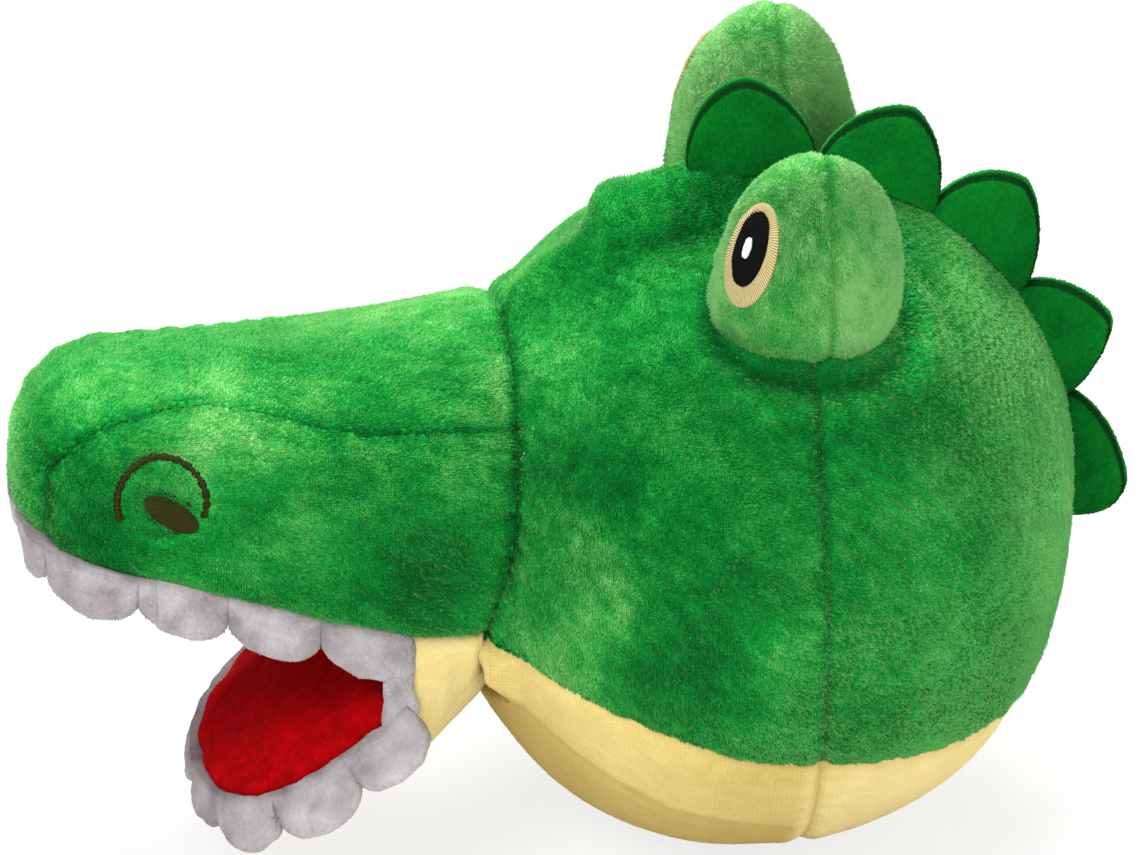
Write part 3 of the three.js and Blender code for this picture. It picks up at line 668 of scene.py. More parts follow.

# %% [markdown]
# The velour's colour runs from painted shade in the gaps between tufts to their pale tips. Three patterns of
# different size shift it: fibres of half a millimetre, brushed marks a few millimetres across, and slow
# changes where a hand has stroked the pile the other way. Embroidery thread is shiny viscose laid side by
# side, with painted shade in the gaps between threads. Cut foam is a fine open sponge, and the filling is
# loose white fibre; both are hidden inside the toy.

# %% Velour, fleece, thread, foam and filling
FIBRE, BRUSHED, STROKED, THREAD = 0.45 * MM, 4 * MM, 22 * MM, 0.4 * MM
MIDDLE_TONE = 0.43


def plush(name, colours, sheen_colour, sheen, weights, places=(0.0, 0.35, 0.65, 1.0)):
    """weights: how much tufts, fibres, brushed marks and stroked patches shift the colour."""
    material = emptied(bpy.data.materials.new(name))
    fibre = noise(material, FIBRE, 2.0, 1.3)
    # The tufts' height paints their roots darker than their tips: painted shade between the tufts.
    patterns = (stored(material, "tip"), fibre, noise(material, BRUSHED, 3.0), noise(material, STROKED, 1.5))
    value = reckoned(material, "ADD", MIDDLE_TONE - sum(weights) / 2, stored(material, "shade"))
    for pattern, weight in zip(patterns, weights):
        value = reckoned(material, "MULTIPLY_ADD", pattern, weight, value)
    settings = {"Roughness": 0.9, "Sheen Weight": sheen, "Sheen Roughness": 0.3,
                "Sheen Tint": linear(sheen_colour), "Specular IOR Level": 0.06, "IOR": 1.5}
    return surfaced(material, places, colours, value, fibre, 0.6, 0.2 * MM, settings)


def thread(name, colours, roughness=0.42, shine=0.4):
    """Viscose thread: the ridges are in the mesh, and painted shade makes the colour darker in the gaps
    between threads.
    """
    material = emptied(bpy.data.materials.new(name))
    wander = noise(material, THREAD, 3.0)
    value = reckoned(material, "MULTIPLY_ADD", wander, 0.4, stored(material, "tip"))
    settings = {"Roughness": roughness, "Specular IOR Level": shine, "IOR": 1.5}
    return surfaced(material, (0.1, 0.6, 1.0), colours, value, wander, 0.3, 0.08 * MM, settings)


def filler(name, colours, grain):
    """Hidden fillings: one grain pattern for colour and bump."""
    material = emptied(bpy.data.materials.new(name))
    cells = noise(material, grain, 3.0)
    return surfaced(material, (0.3, 0.7), colours, cells, cells, 0.6, 0.3 * grain, {"Roughness": 0.95})


FINISHES = {
    # Polyester velour with a 2 mm pile, dyed leaf green: painted shade deep between the tufts, pale where
    # light grazes it.
    "green_velour": plush("green_polyester_velour", "#03541B #057A2B #0E9238 #46B04C #90D67E", "#9CF08C",
                          0.95, (0.62, 0.9, 0.35, 0.95), (0.0, 0.3, 0.5, 0.75, 1.0)),
    # The spine is the same cloth in a deeper dye, so that it stands out dark against the head.
    "deep_green_velour": plush("deep_green_polyester_velour", "#02340E #036A1D #068129 #379A42", "#60C868",
                               0.2, (0.22, 0.6, 0.3, 0.5)),
    # Cream velour is shorter and smoother, so that its tufts hardly show.
    "cream_velour": plush("cream_polyester_velour", "#BFA65C #DAC480 #E8D89A #F4EABE", "#FFF6D8", 0.12,
                          (0.24, 0.25, 0.14, 0.35)),
    # Red velour lines the mouth: dense, and nearly free of highlights.
    "red_velour": plush("red_polyester_velour", "#640004 #AA0006 #C2020A #D21018", "#D8404A", 0.02,
                        (0.62, 0.3, 0.15, 0.2)),
    # Tooth fleece is off-white and clumped, and its hollows are painted grey as shade.
    "white_fleece": plush("white_polyester_fleece", "#7F7779 #A8A1A3 #C0BABD #DCD9DB", "#FFFFFF", 0.1,
                          (0.14, 0.3, 0.3, 0.25)),
    # Gold thread rings the eye, with soft highlights across the threads.
    "gold_thread": thread("gold_viscose_thread", "#6A5A2A #A8965C #D2C290", 0.45, 0.3),
    # Black thread takes up nearly all light, so that the pupil looks deep.
    "black_thread": thread("black_viscose_thread", "#010101 #030303 #0B0A08", 0.65, 0.06),
    # White thread is the one bright spot in the eye.
    "white_thread": thread("white_viscose_thread", "#A9A9A5 #E0E0DC #F8F8F6"),
    # Olive thread draws the nostrils in a green that is nearly black.
    "olive_thread": thread("olive_viscose_thread", "#060601 #171604 #3C3E10", 0.6, 0.08),
    # Cut foam is a pale cream sponge with open cells, and the filling is matt white fibre.
    "cut_foam": filler("open_cell_polyurethane_foam", "#D8CFAE #EFE9D2", 0.6 * MM),
    "fibre_filling": filler("polyester_fibre_filling", "#E2E0DA #F7F6F2", 1.5 * MM),
}
print("finishes:", len(FINISHES))

# %% [markdown]
# ## Head and snout
# The relief is what the hand would feel under the pile: a valley along each seam, small puckers where the
# thread pulls the cloth in, the roll of cloth that the spine's seam pushes up between the eyes, and the lids
# under the eye mounds. Where a nostril is sewn, its thread holds the pile down.

# %% Seams, eye mounds and nostrils in the relief
STITCH_DEPTH, STITCH_PITCH = 0.45, 2.6
RING_WIDTH = 14.5
NOSTRIL = ((0, -105, 77.5), 0, 35)  # where embroidery is sewn, the way it faces, and how far it leans
NOSTRIL_ARC, ARC_RADIUS = ((0, -106.7, 79.7), 0, 0), 7.7


def seam_valley(gap, along, depth, width, pucker=0.3, pitch=5.2):
    valley = -depth * np.exp(-(gap / width) ** 1.4)
    ripple = np.sin(2 * np.pi * along / pitch + 2.4 * np.sin(along / 7.3))
    return valley + pucker * ripple * bell(gap - 1.8 * width, 1.9 * width)


def stitches(gap, along):
    return -STITCH_DEPTH * np.clip(np.cos(2 * np.pi * along / STITCH_PITCH), 0, 1) * bell(gap, 0.8)


def mound_ring(points):
    """Distance out from the foot of the nearer eye mound, and the direction about its middle."""
    east = np.abs(points[:, 0]) - MOUND_MIDDLE[0]
    north = points[:, 1] - MOUND_MIDDLE[1]
    reach = np.hypot(east / MOUND_HALF[0], north / MOUND_HALF[1])
    return (reach - 1) * RING_WIDTH, np.arctan2(north, east)


def sewn_place(points, sewn):
    """Where points are over a piece of embroidery: across it, up it, and out in front of it."""
    middle, facing, tilt = sewn
    turn, lean = math.radians(facing), math.radians(-tilt)
    x, y, z = (points * np.where(points[:, :1] < 0, [-1, 1, 1], [1, 1, 1]) - np.array(middle)).T
    level = x * math.sin(turn) + y * math.cos(turn)
    across = level * math.cos(lean) + z * math.sin(lean)
    up = z * math.cos(lean) - level * math.sin(lean)
    return across, up, x * math.cos(turn) - y * math.sin(turn)


def nostril_pressed(points):
    """The share of the pile's height that is left under and round the thread of a nostril."""
    across, up, _ = sewn_place(points, NOSTRIL)
    fill = np.hypot(across / 5.2, up / 2.4)
    across, up, _ = sewn_place(points, NOSTRIL_ARC)
    arc = np.abs(np.hypot(across, up) - ARC_RADIUS)
    return mix(0.15, 1, np.minimum(smooth_step(0.9, 1.25, fill), smooth_step(0.5, 1.3, arc)))


print("stitches in the snout's side seam:", round((TIP - SNOUT_SEAM) / STITCH_PITCH))

# %% [markdown]
# `shape` is in millimetres. `shade` goes to the material: 0.1 makes the pile plainly paler or deeper.
# It holds random tone and the stroked pile, and also painted light and painted shade.

# %% Relief of the body
# Where a hand has stroked the pile: place, height, half length, half height, and how much paler or deeper.
STROKED_PATCHES = [
    (34, 62, 12, 20, 0.2), (14, 66, 12, 16, -0.16), (62, 66, 16, 9, -0.2), (98, 66, 12, 7, 0.14),
    (58, 86, 9, 5, -0.16), (84, 90, 18, 6, 0.14), (34, 98, 9, 8, 0.16), (-14, 70, 14, 26, -0.05)]
ROUND_HEAD, ROUND_SNOUT, SNOUT_MIDDLE = 55, 28, 75


def seam_relief(points, on_snout):
    """Valleys, puckers and stitches along the seams, with painted shade, and the crease low on the belly,
    with painted shade below it.
    """
    x, y, z = points.T
    place = -y
    off_floor = smooth_step(0.5, 5, z)
    gap, along = np.abs(y - SIDE_SEAM), np.arctan2(z - HEAD_MIDDLE, np.abs(x)) * ROUND_HEAD
    shape = off_floor * seam_valley(gap, along, 0.9, 1.3)
    # Painted shade darkens the cloth along each seam.
    shade = -0.22 * bell(gap, 1.0)

    gap, along = distance_to(funnel_seam, points)[0], np.arctan2(z - SNOUT_MIDDLE, x) * ROUND_SNOUT
    over = smooth_step(48, 51, z)
    shape += over * (seam_valley(gap, along, 1.5, 1.5, 0.35) + stitches(gap, along))
    shade -= 0.35 * over * bell(gap, 1.1)

    gap, along = distance_to(belly_seam, points)
    front = smooth_step(-54, -51, y) * off_floor
    shape += front * seam_valley(gap, along, 0.9, 1.3, 0.2)
    shade -= 0.12 * front * bell(gap, 0.9)

    gap, along = distance_to(top_seam, points)
    shape += on_snout * (seam_valley(gap, along, 0.9, 1.2, 0.22) + 0.4 * stitches(gap, along))
    shade -= 0.28 * on_snout * bell(gap, 0.9)

    gap = distance_to(lip_seam, points)[0]
    shape += on_snout * (-0.9 * np.exp(-gap / 0.9) + 0.35 * bell(gap - 3.2, 2.2))

    above_belly = smooth_step(-1, 1, z - height_on(belly_seam, place))
    creased = (1 - above_belly) * smooth_step(1 - SIDE_SEAM, 4 - SIDE_SEAM, place)
    below = height_on(low_crease, place) - z
    # The front belly is painted a little deeper, and painted shade darkens it along the crease and more
    # below it, where the cloth turns under.
    shade -= creased * (0.22 + 0.24 * smooth_step(-1.5, 1.5, below) + 0.12 * bell(below, 1.0))
    return shape - 0.4 * creased * bell(below, 1.3), shade


def crown_relief(x, z, place, on_head):
    """The roll between two creases that the spine's seam pushes up, and the bump and dip before it. The
    creases and the dip are painted darker as painted shade.
    """
    crown = smooth_step(104, 112, z) * on_head
    brow = smooth_step(95, 105, z) * on_head * bell(x, 13)
    ridge_end = smooth_step(31, 23.5, place)
    roll = bell(x, 6.5) * ridge_end * smooth_step(-4, 14, place)
    crease = bell(np.abs(x) - 9.5, 2.6) * ridge_end * smooth_step(2, 12, place)
    shape = crown * (2.8 * roll - 1.5 * crease + 1.4 * bell(place - 25, 4) * bell(x, 9))
    shape -= 1.0 * bell(place - 33, 4) * brow
    shape -= crown * 0.6 * np.exp(-np.abs(x) / 1.2) * smooth_step(12, 20, place)
    return shape, -0.26 * crease * crown - 0.2 * bell(place - 32, 3) * brow


def lid_relief(points, on_head):
    """The groove round the foot of each eye mound, and the lid under its outer side. The lid's ridge gets a
    painted highlight, and the groove painted shade.
    """
    ring, turn = mound_ring(points)
    near = smooth_step(92, 100, points[:, 2]) * on_head
    lid = smooth_step(-2.2, -1.0, -np.abs(turn - 0.35))
    shape = lid * (2.3 * bell(ring - 4.6, 2.1) - 0.7 * bell(ring - 8.6, 1.9)) - 1.3 * bell(ring - 0.4, 1.6)
    shade = 0.16 * bell(ring - 4.6, 2.4) * lid - 0.2 * bell(ring - 0.6, 1.4)
    return near * shape, near * shade


def body_relief(points, normals):
    x, y, z = points.T
    place = -y
    on_head = smooth_step(-1.5, 1.5, place_on(funnel_seam, z) - place)
    on_snout = 1 - on_head
    shape = 0.7 * drift(points, 27, 3) + 0.22 * drift(points, 11, 4)
    shade = 0.10 * drift(points, 19, 8)
    # Painted light: the snout's top and the back of the head are painted paler.
    shade += 0.2 * on_snout * smooth_step(70, 92, z) + 0.12 * on_head * smooth_step(-8, -40, place)
    for stroked_place, stroked_height, long, high, amount in STROKED_PATCHES:
        shade += amount * bell(place - stroked_place, long) * bell(z - stroked_height, high)
    for more_shape, more_shade in (seam_relief(points, on_snout), crown_relief(x, z, place, on_head),
                                   lid_relief(points, on_head)):
        shape += more_shape
        shade += more_shade
    # The cloth is drawn flat where it rests, and in the throat, where the closing jaw would touch it.
    rests = smooth_step(2.5, 0.2, z)
    throat = on_snout * smooth_step(70, 62, place) * smooth_step(-0.6, -0.9, normals[:, 2])
    return shape * (1 - rests) * (1 - throat) - 0.5 * throat, shade


VELOUR = {"height": 0.75, "lie": (0.15, 0.75, -0.55), "lean": 0.9}
SMOOTH_VELOUR = {"height": 0.14, "lie": (0, 0.9, -0.3), "lean": 0.5, "stray": 0.1, "cuts": 1}
SNOUT_VELOUR = {**VELOUR, "lie": (0.1, 0.9, -0.35), "thin": nostril_pressed}
panel_looks = {"head": (VELOUR, "green_velour"), "belly": (SMOOTH_VELOUR, "cream_velour"),
               "snout": (SNOUT_VELOUR, "green_velour"),
               "palate": ({**SMOOTH_VELOUR, "height": 0.2}, "red_velour")}
for node in PANELS:
    pile, slot = panel_looks[node.split("_")[0]]
    panel = part_of(body_bm, [name == node for name in panel_of_face])
    finish_piece(f"{node}_panel", pile_up(node, panel, body_relief, pile), BODY, slot, [node])

# %% [markdown]
# ## Eye mounds
# Each eye stands on a stuffed cap of the same velour, sewn from a front and a back panel. The left one is
# made, and the right one is its mirror image, with its faces turned the right way round again.

# %% Eye mounds
MOUND_SEAM = 8
MOUND_DEPTH = 2.5
EYE = ((*MOUND_MIDDLE, 125.5), 54, 8)
mound_bm = remeshed([ball(5, mound_form)], 1.0 * FINE, 3)
store_normals(mound_bm)
mound_surface = BVHTree.FromBMesh(mound_bm)
bisect(mound_bm, mound_bm.faces[:], (0, MOUND_SEAM, 0), (0, 1, 0))


def depth_in_head(p):
    """How far a point is inside the head's form, counted from its middle outwards."""
    p = Vector(p) - Vector((0, 0, HEAD_MIDDLE))
    share = math.sqrt(max(1 - (p.x / HEAD_HALF[0]) ** 2, 0))
    fade = max(1 - abs(p.x) / RIDGE_HALF_WIDTH, 0) ** 2 * RIDGE_HEIGHT
    return (HEAD_RISE + fade) * share - math.hypot(p.y * HEAD_RISE / HEAD_HALF[1], p.z)


def mound_relief(points, normals):
    x, y, z = points.T
    gap = np.abs(y - MOUND_SEAM)
    shape = 0.45 * drift(points, 15, 41) + 0.15 * drift(points, 7, 42)
    shape += seam_valley(gap, z, 0.55, 1.3, 0.15, 4.4)
    # Painted light: the mounds are painted paler all over, and the far mound more so. The back of both is
    # paler too, and the seam gets painted shade.
    shade = 0.36 + 0.14 * smooth_step(5, -5, x) + 0.16 * smooth_step(4, 12, y) - 0.16 * bell(gap, 0.9)
    return shape, shade + 0.14 * drift(points, 12, 43) + 0.1 * drift(points, 2.2, 44)


def mirrored(bm):
    copy = bm.copy()
    bmesh.ops.scale(copy, vec=(-1, 1, 1), verts=copy.verts)
    bmesh.ops.reverse_faces(copy, faces=copy.faces[:])
    layer = copy.verts.layers.float_vector.get("rest_normal")
    if layer:
        for vert in copy.verts:
            vert[layer] = vert[layer] * Vector((-1, 1, 1))
    return copy


def eye_pressed(points):
    """The share of the pile's height that is left under and round the thread of an eye."""
    across, up, ahead = sewn_place(points, EYE)
    reach = np.hypot(across / 4.6, up / 9.4)
    return np.where(ahead > 0, mix(0.12, 1, smooth_step(0.93, 1.15, reach)), 1)


MOUND_VELOUR = {"height": 1.0, "thin": eye_pressed, "lie": (0.1, 0.35, -0.9), "lean": 0.9}
middles = [face.calc_center_median() for face in mound_bm.faces]
for part, behind in (("front", False), ("back", True)):
    kept = [(p.y > MOUND_SEAM) == behind and depth_in_head(p) <= MOUND_DEPTH for p in middles]
    panel = part_of(mound_bm, kept)
    for side, half in (("left", panel), ("right", mirrored(panel))):
        name = f"eye_{part}_{side}"
        finish_piece(f"{name}_panel", pile_up(name, half, mound_relief, MOUND_VELOUR), BODY, "green_velour",
                     [name])

# %% [markdown]
# ## Embroidery
# Eyes and nostrils are satin stitch: threads laid side by side over a shape. Each is a flat grid bent into
# that shape, dropped onto the cloth along the direction in which the machine sewed it, and given one ridge
# per thread.

# %% Satin stitch maker
THREAD_PITCH, THREAD_RIDGE, STITCH_THICKNESS = 0.42, 0.16, 1.0
NEEDLE_START = 60
JOINED = 0.005
snout_surface = BVHTree.FromBMesh(body_bm)


def satin(name, columns, rows, outline, height, surface, sewn, slot):
    """Sews an outline on the left side, and its mirror image on the right. The outline turns grid places
    into points of the flat shape, the count along threads, and the edge share."""
    bm = bmesh.new()
    bmesh.ops.create_grid(bm, x_segments=columns, y_segments=rows, size=1)
    grid = points_of(bm)
    flat, thread_line, edge = outline(grid[:, 0], grid[:, 1])
    middle, facing, tilt = sewn
    turn, lean = math.radians(facing), math.radians(-tilt)
    out = Vector((math.cos(turn), -math.sin(turn), 0))
    level = Vector((math.sin(turn), math.cos(turn), 0))
    ridge = 0.5 + 0.5 * np.cos(2 * np.pi * thread_line / THREAD_PITCH)
    wander = 0.10 * drift(spots(flat[:, 0], flat[:, 1], 0 * flat[:, 0]), 1.6, 51)
    rise = height * (0.25 + 0.75 * edge) + THREAD_RIDGE * ridge * edge + wander
    placed = []
    for (across, up), lift in zip(flat, rise):
        a = across * math.cos(lean) - up * math.sin(lean)
        b = across * math.sin(lean) + up * math.cos(lean)
        start = Vector(middle) + level * a + Vector((0, 0, b)) + out * NEEDLE_START
        hit, normal = surface.ray_cast(start, -out)[:2]
        placed.append(hit + normal * lift)
    move_to(bm, placed)
    # Each thread's ridge goes to the colour, which paints the gaps between threads darker as painted shade.
    layer = bm.verts.layers.float.new("tip")
    for vert, value in zip(bm.verts, ridge):
        vert[layer] = value
    bmesh.ops.remove_doubles(bm, verts=bm.verts, dist=JOINED)
    bm.normal_update()
    if sum(face.normal.dot(out) for face in bm.faces) < 0:
        bmesh.ops.reverse_faces(bm, faces=bm.faces[:])
    bmesh.ops.solidify(bm, geom=bm.faces[:], thickness=STITCH_THICKNESS)
    bmesh.ops.remove_doubles(bm, verts=bm.verts, dist=JOINED)
    for side, half in (("left", bm), ("right", mirrored(bm))):
        piece = f"{name}_{side}_stitching"
        finish_piece(piece, open_mesh(piece, half), BODY, slot, [f"{name}_{side}"])


def filled_ellipse(half_width, half_height, across=False):
    """Threads run level, or upright when across is true; the grid's rows are drawn in to the outline."""
    def outline(u, v):
        x, y = u * rim(v, 2) * half_width, v * half_height
        edge = rim(np.maximum(np.abs(u), np.abs(v)), 3)
        return spots(x, y), (x if across else y), edge
    return outline


def ring(half_size, inner_size, shift, start=-180, end=180, link=0):
    """A ring or arc of stitches. Where link is given it is a chain of links that long."""
    def outline(u, v):
        angle = np.radians(mix(start, end, (u + 1) / 2))
        length = np.radians(end - start) * (u + 1) / 2 * sum(half_size) / 2
        squeeze = 0.45 + 0.55 * np.abs(np.sin(np.pi * length / link)) if link else 1
        share = 0.5 + v / 2 * squeeze
        x = np.cos(angle) * mix(inner_size[0], half_size[0], share)
        y = np.sin(angle) * mix(inner_size[1], half_size[1], share) + shift * (1 - share)
        return spots(x, y), length, rim(v, 3)
    return outline


print("threads in each centimetre of stitching:", round(10 / THREAD_PITCH))

# %% Eyes and nostrils
PUPIL = ((*MOUND_MIDDLE, 127.3), *EYE[1:])
nostril_links = ring((8.2, 8.2), (7.3, 7.3), 0, -20, 200, link=2.1)
satin("iris", 480, 14, ring((4.8, 9.6), (2.8, 6.6), 1.3), 0.55, mound_surface, EYE, "gold_thread")
satin("pupil", 30, 150, filled_ellipse(3.15, 7.35), 0.75, mound_surface, PUPIL, "black_thread")
satin("eye_highlight", 12, 40, filled_ellipse(0.8, 2), 1.25, mound_surface, PUPIL, "white_thread")
satin("nostril", 120, 30, filled_ellipse(5.4, 2.5, across=True), 0.5, snout_surface, NOSTRIL, "olive_thread")
satin("nostril_line", 260, 6, nostril_links, 0.35, snout_surface, NOSTRIL_ARC, "olive_thread")

# %% [markdown]
# ## Teeth and spine
# The teeth and the scutes on the spine are rows of padded lobes. `plump` makes a row: a grid is pulled into
# a second layer with an extrusion, then both layers are bent into the lobes, one to each side, and meet at
# the edge.

# %% Padded lobes
def plump(name, columns, rows, form, pile, slot, nodes, body=BODY, place=None):
    """form turns grid places and the side (-1 or 1) into points and a shade."""
    bm = bmesh.new()
    bmesh.ops.create_grid(bm, x_segments=int(columns / FINE), y_segments=int(rows / FINE), size=1)
    tuft = bm.verts.layers.float.new("tuft")
    for vert in bmesh.ops.poke(bm, faces=bm.faces[:])["verts"]:
        vert[tuft] = 1.0
    first = len(bm.verts)
    bmesh.ops.extrude_face_region(bm, geom=bm.faces[:])
    grid = points_of(bm)
    tips = np.array([vert[tuft] for vert in bm.verts]) > 0.5
    side = np.where(np.arange(len(bm.verts)) < first, -1, 1)
    points, shade = form(grid[:, 0], grid[:, 1], side)
    move_to(bm, points)
    bmesh.ops.recalc_face_normals(bm, faces=bm.faces[:])
    bm.normal_update()
    normals = np.array([v.normal[:] for v in bm.verts])
    move, stand = raised(points, normals, tips, pile)
    points = points + move + normals * (pile.get("clump", 0) * drift(points, 2.6, 69))[:, None]
    move_to(bm, place(points) if place else points)
    mesh = open_mesh(name, bm)
    attribute(mesh, "tip", stand)
    attribute(mesh, "shade", shade + pile.get("mottle", 0) * drift(points, 3.5, 70))
    finish_piece(name, mesh, body, slot, nodes)


# The scutes from front to back: height, place of the peak, and how full the leading and trailing edges are.
SCUTES = np.array([[16.2, 0.46, 1.8, 1.4], [14.4, 0.55, 1.6, 1.4], [13.0, 0.45, 1.7, 1.35],
                   [11.0, 0.60, 1.45, 1.35], [10.0, 0.78, 1.3, 2.2]])
SPINE_FROM, SPINE_TO = -11, 96  # degrees behind the top of the crown
SPINE_ROOT = 1.2


def scute_form(sign, wider):
    """One layer of the strip. The wider layer shows past the other as a dark edge."""
    def form(u, v, side):
        where = (u + 1) / 2 * len(SCUTES)
        number = np.minimum(np.floor(where), len(SCUTES) - 1).astype(int)
        height, peak, leading, trailing = SCUTES[number].T
        along = (1 - np.cos(np.pi * (where - number))) / 2
        ahead = along < peak
        away = np.where(ahead, (peak - along) / peak, (along - peak) / (1 - peak))
        rise = rim(away, np.where(ahead, leading, trailing))
        top = mix(0.5, height, rise) + wider * rise
        out = (v + 1) / 2
        from_crown = np.radians(mix(SPINE_FROM, SPINE_TO, (number + along) / len(SCUTES)))
        spot = head_point(0 * u, np.sin(from_crown), np.cos(from_crown), mix(-SPINE_ROOT, top, out))
        puff = rim(out, 2.6) * (0.4 + 0.6 * rise)
        thick = np.where(side > 0, 0.5 + 2.3 * puff, 0.1)
        spot[:, 0] = sign * np.where(out > 0.96, np.minimum(thick, 0.7), thick)
        from_edge = (1 - out) * (top + SPINE_ROOT)
        edge = smooth_step(1.1, 0.6, from_edge) * (0 if wider else 1)
        return spot, -0.9 * edge + 0.6 * wider * smooth_step(1.2, 0.4, from_edge)
    return form


SCUTE_VELOUR = {"height": 0.35, "lie": (0, 0.5, 0.8), "lean": 0.7, "stray": 0.2}
for side_name, sign, wider in (("left", 1, 0.0), ("right", -1, 0.5)):
    plump(f"spine_{side_name}_scutes", 300, 33, scute_form(sign, wider), SCUTE_VELOUR, "deep_green_velour",
          [f"spine_strip_{side_name}"])

# %% [markdown]
# The teeth of each jaw are one strip of fleece, folded over a padding and stitched across into lobes. It is
# sewn to the mouth's edge all the way round, so it follows that edge, and leans outwards from it.

# %% Mouth edges and upper teeth
TOOTH_VALLEY, TOOTH_ROOT, TOOTH_HALF_THICKNESS = 4, 1, 1.6
FLEECE = {"height": 0.3, "lie": (0.3, 0.2, -0.9), "lean": 0.4, "stray": 0.2, "clump": 0.4, "mottle": 0.2}


def crowded(back, front):
    """Places from back to front that crowd together at the front, where an edge turns."""
    return mix(back, front, 1 - (1 - np.linspace(0, 1, 400)) ** 4)


def around_mouth(places, half_widths, heights):
    """A function of share, from the right corner of a mouth past its front to the left corner."""
    left = spots(half_widths, -places, heights)
    line = np.concatenate([left * (-1, 1, 1), left[::-1][1:]])
    step = np.linalg.norm(np.diff(line, axis=0), axis=1)
    share = np.concatenate([[0], np.cumsum(step)]) / step.sum()
    return lambda u: spots(*(np.interp(u, share, line[:, n]) for n in range(3)))


def tooth_form(edge, count, long, flare, front_flare, front_cut):
    """flare is how far the lobes lean out in degrees; front_cut is the share cut off those at the front."""
    def form(u, v, side):
        share = (u + 1) / 2
        at_front = bell(2 * share - 1, 0.3)
        lean = np.radians(mix(flare, front_flare, at_front))[:, None]
        ahead = edge(np.minimum(share + 0.004, 1)) - edge(np.maximum(share - 0.004, 0))
        out = np.cross(ahead, [0, 0, 1])
        out /= np.linalg.norm(out, axis=1)[:, None]
        up = np.array([0, 0, 1])
        down = -up * np.cos(lean) + out * np.sin(lean)
        face = up * np.sin(lean) + out * np.cos(lean)
        lobe = (share * count) % 1
        length = mix(TOOTH_VALLEY, long, rim(2 * lobe - 1, 2)) * (1 - front_cut * at_front)
        reach = (v + 1) / 2
        pinch = 0.62 + 0.38 * rim(2 * lobe - 1, 2.4)
        half = TOOTH_HALF_THICKNESS * rim(reach, 2.6) * mix(1, pinch, smooth_step(0.1, 0.5, reach)) + 0.12
        spot = edge(share) + down * mix(-TOOTH_ROOT, length, reach)[:, None] + face * (side * half)[:, None]
        # Painted shade greys the fleece where the lobes are pinched apart and near the root.
        return spot, -0.32 * (1 - pinch) - 0.25 * smooth_step(0.25, 0.0, reach)
    return form


lip_places = crowded(MOUTH_CORNER, TIP)
middle, half_width, _, below = snout_section(lip_places)
lip_share = np.clip((middle - lip_height(lip_places)) / np.maximum(below, 0.01), 0, 1)
lip_widths = half_width * rim(lip_share, 6)
on_lip = slice(0, np.argmax(np.append(lip_widths, 0) <= 0) + 1)
upper_edge = around_mouth(lip_places[on_lip], lip_widths[on_lip], lip_height(lip_places)[on_lip])
plump("upper_tooth_lobes", 340, 24, tooth_form(upper_edge, 10, 9, 14, -6, 0), FLEECE, "white_fleece",
      ["upper_teeth"])

# %% [markdown]
# ## Lower jaw
# The lower jaw is a small stuffed cushion: red velour above, cream velour below, sewn together along its
# edge. It is shaped level, with the fold that it hangs on at the origin, and then turned down and moved to
# its place.

# %% Lower jaw
JAW_GAPE = math.radians(38)
JAW_LENGTH, JAW_CAP, JAW_HIGH_FULLNESS = 45, 25, 2.4
JAW_HALF_WIDTHS = (25, 28.5)
JAW_CORNER, CHEEK_INSIDE = -5, 23
FOLD_POINT = np.array([0, -FOLD[0], FOLD[1]])


def jaw_edge(place):
    return 4.6 + 2.8 * np.clip(place / JAW_LENGTH, 0, 1) ** 3


def jaw_section(place):
    """Behind the fold the section is part of a circle. Ahead of it the cushion tapers to its front."""
    behind = np.clip(place, -FOLD_RADIUS, 0) / FOLD_RADIUS
    root = rim(behind, 2) * FOLD_RADIUS
    cap = rounded_end(place, JAW_LENGTH, JAW_CAP)
    taper = rounded_end(place, JAW_LENGTH, JAW_LENGTH - 15, 1.6)
    ahead = place >= 0
    half_width = mix(*JAW_HALF_WIDTHS, rim(1 - np.clip(place / 18, 0, 1), 2))
    middle = np.where(ahead, jaw_edge(place), root * 0.46)
    above = np.where(ahead, 5.2 * cap, root * 0.54)
    below = np.where(ahead, (jaw_edge(place) + 10) * taper, root * 1.46)
    return middle, half_width * np.where(ahead, cap, rim(behind, 6)), above, below


def jaw_form(ball):
    return tube(ball, -FOLD_RADIUS, JAW_LENGTH, jaw_section, 2.2, JAW_HIGH_FULLNESS)


def tipped(points, angle):
    """Turns points or directions about the line across the toy, so that their front goes down."""
    x, y, z = points.T
    cos, sin = math.cos(angle), math.sin(angle)
    return spots(x, y * cos - z * sin, y * sin + z * cos)


def hang_jaw(points):
    return tipped(points, JAW_GAPE) + FOLD_POINT


def is_lining(p):
    """The lining ends at the corner of the mouth, and between the cheeks behind it."""
    return p.z > jaw_edge(-p.y) and -p.y > JAW_CORNER and (abs(p.x) < CHEEK_INSIDE or -p.y > 5)


def jaw_relief(points, normals):
    x, y, z = tipped(points - FOLD_POINT, -JAW_GAPE).T
    gap = np.abs(z - jaw_edge(-y))
    front = smooth_step(-2, 6, -y)
    shape = 0.5 * drift(points, 16, 71) + 0.2 * drift(points, 7, 72) - 0.8 * np.exp(-gap / 1.0) * front
    shape += 0.25 * np.sin(2 * np.pi * np.arctan2(x, -y) * 4.2) * bell(gap - 2.5, 2.2) * front
    # The root is drawn flat, so that it clears the throat when the jaw closes.
    root = smooth_step(9, 3, -y)
    # Painted shade darkens the cloth along the edge seam.
    return shape * (1 - root) - 0.35 * root, 0.06 * drift(points, 10, 73) - 0.25 * bell(gap, 1.0)


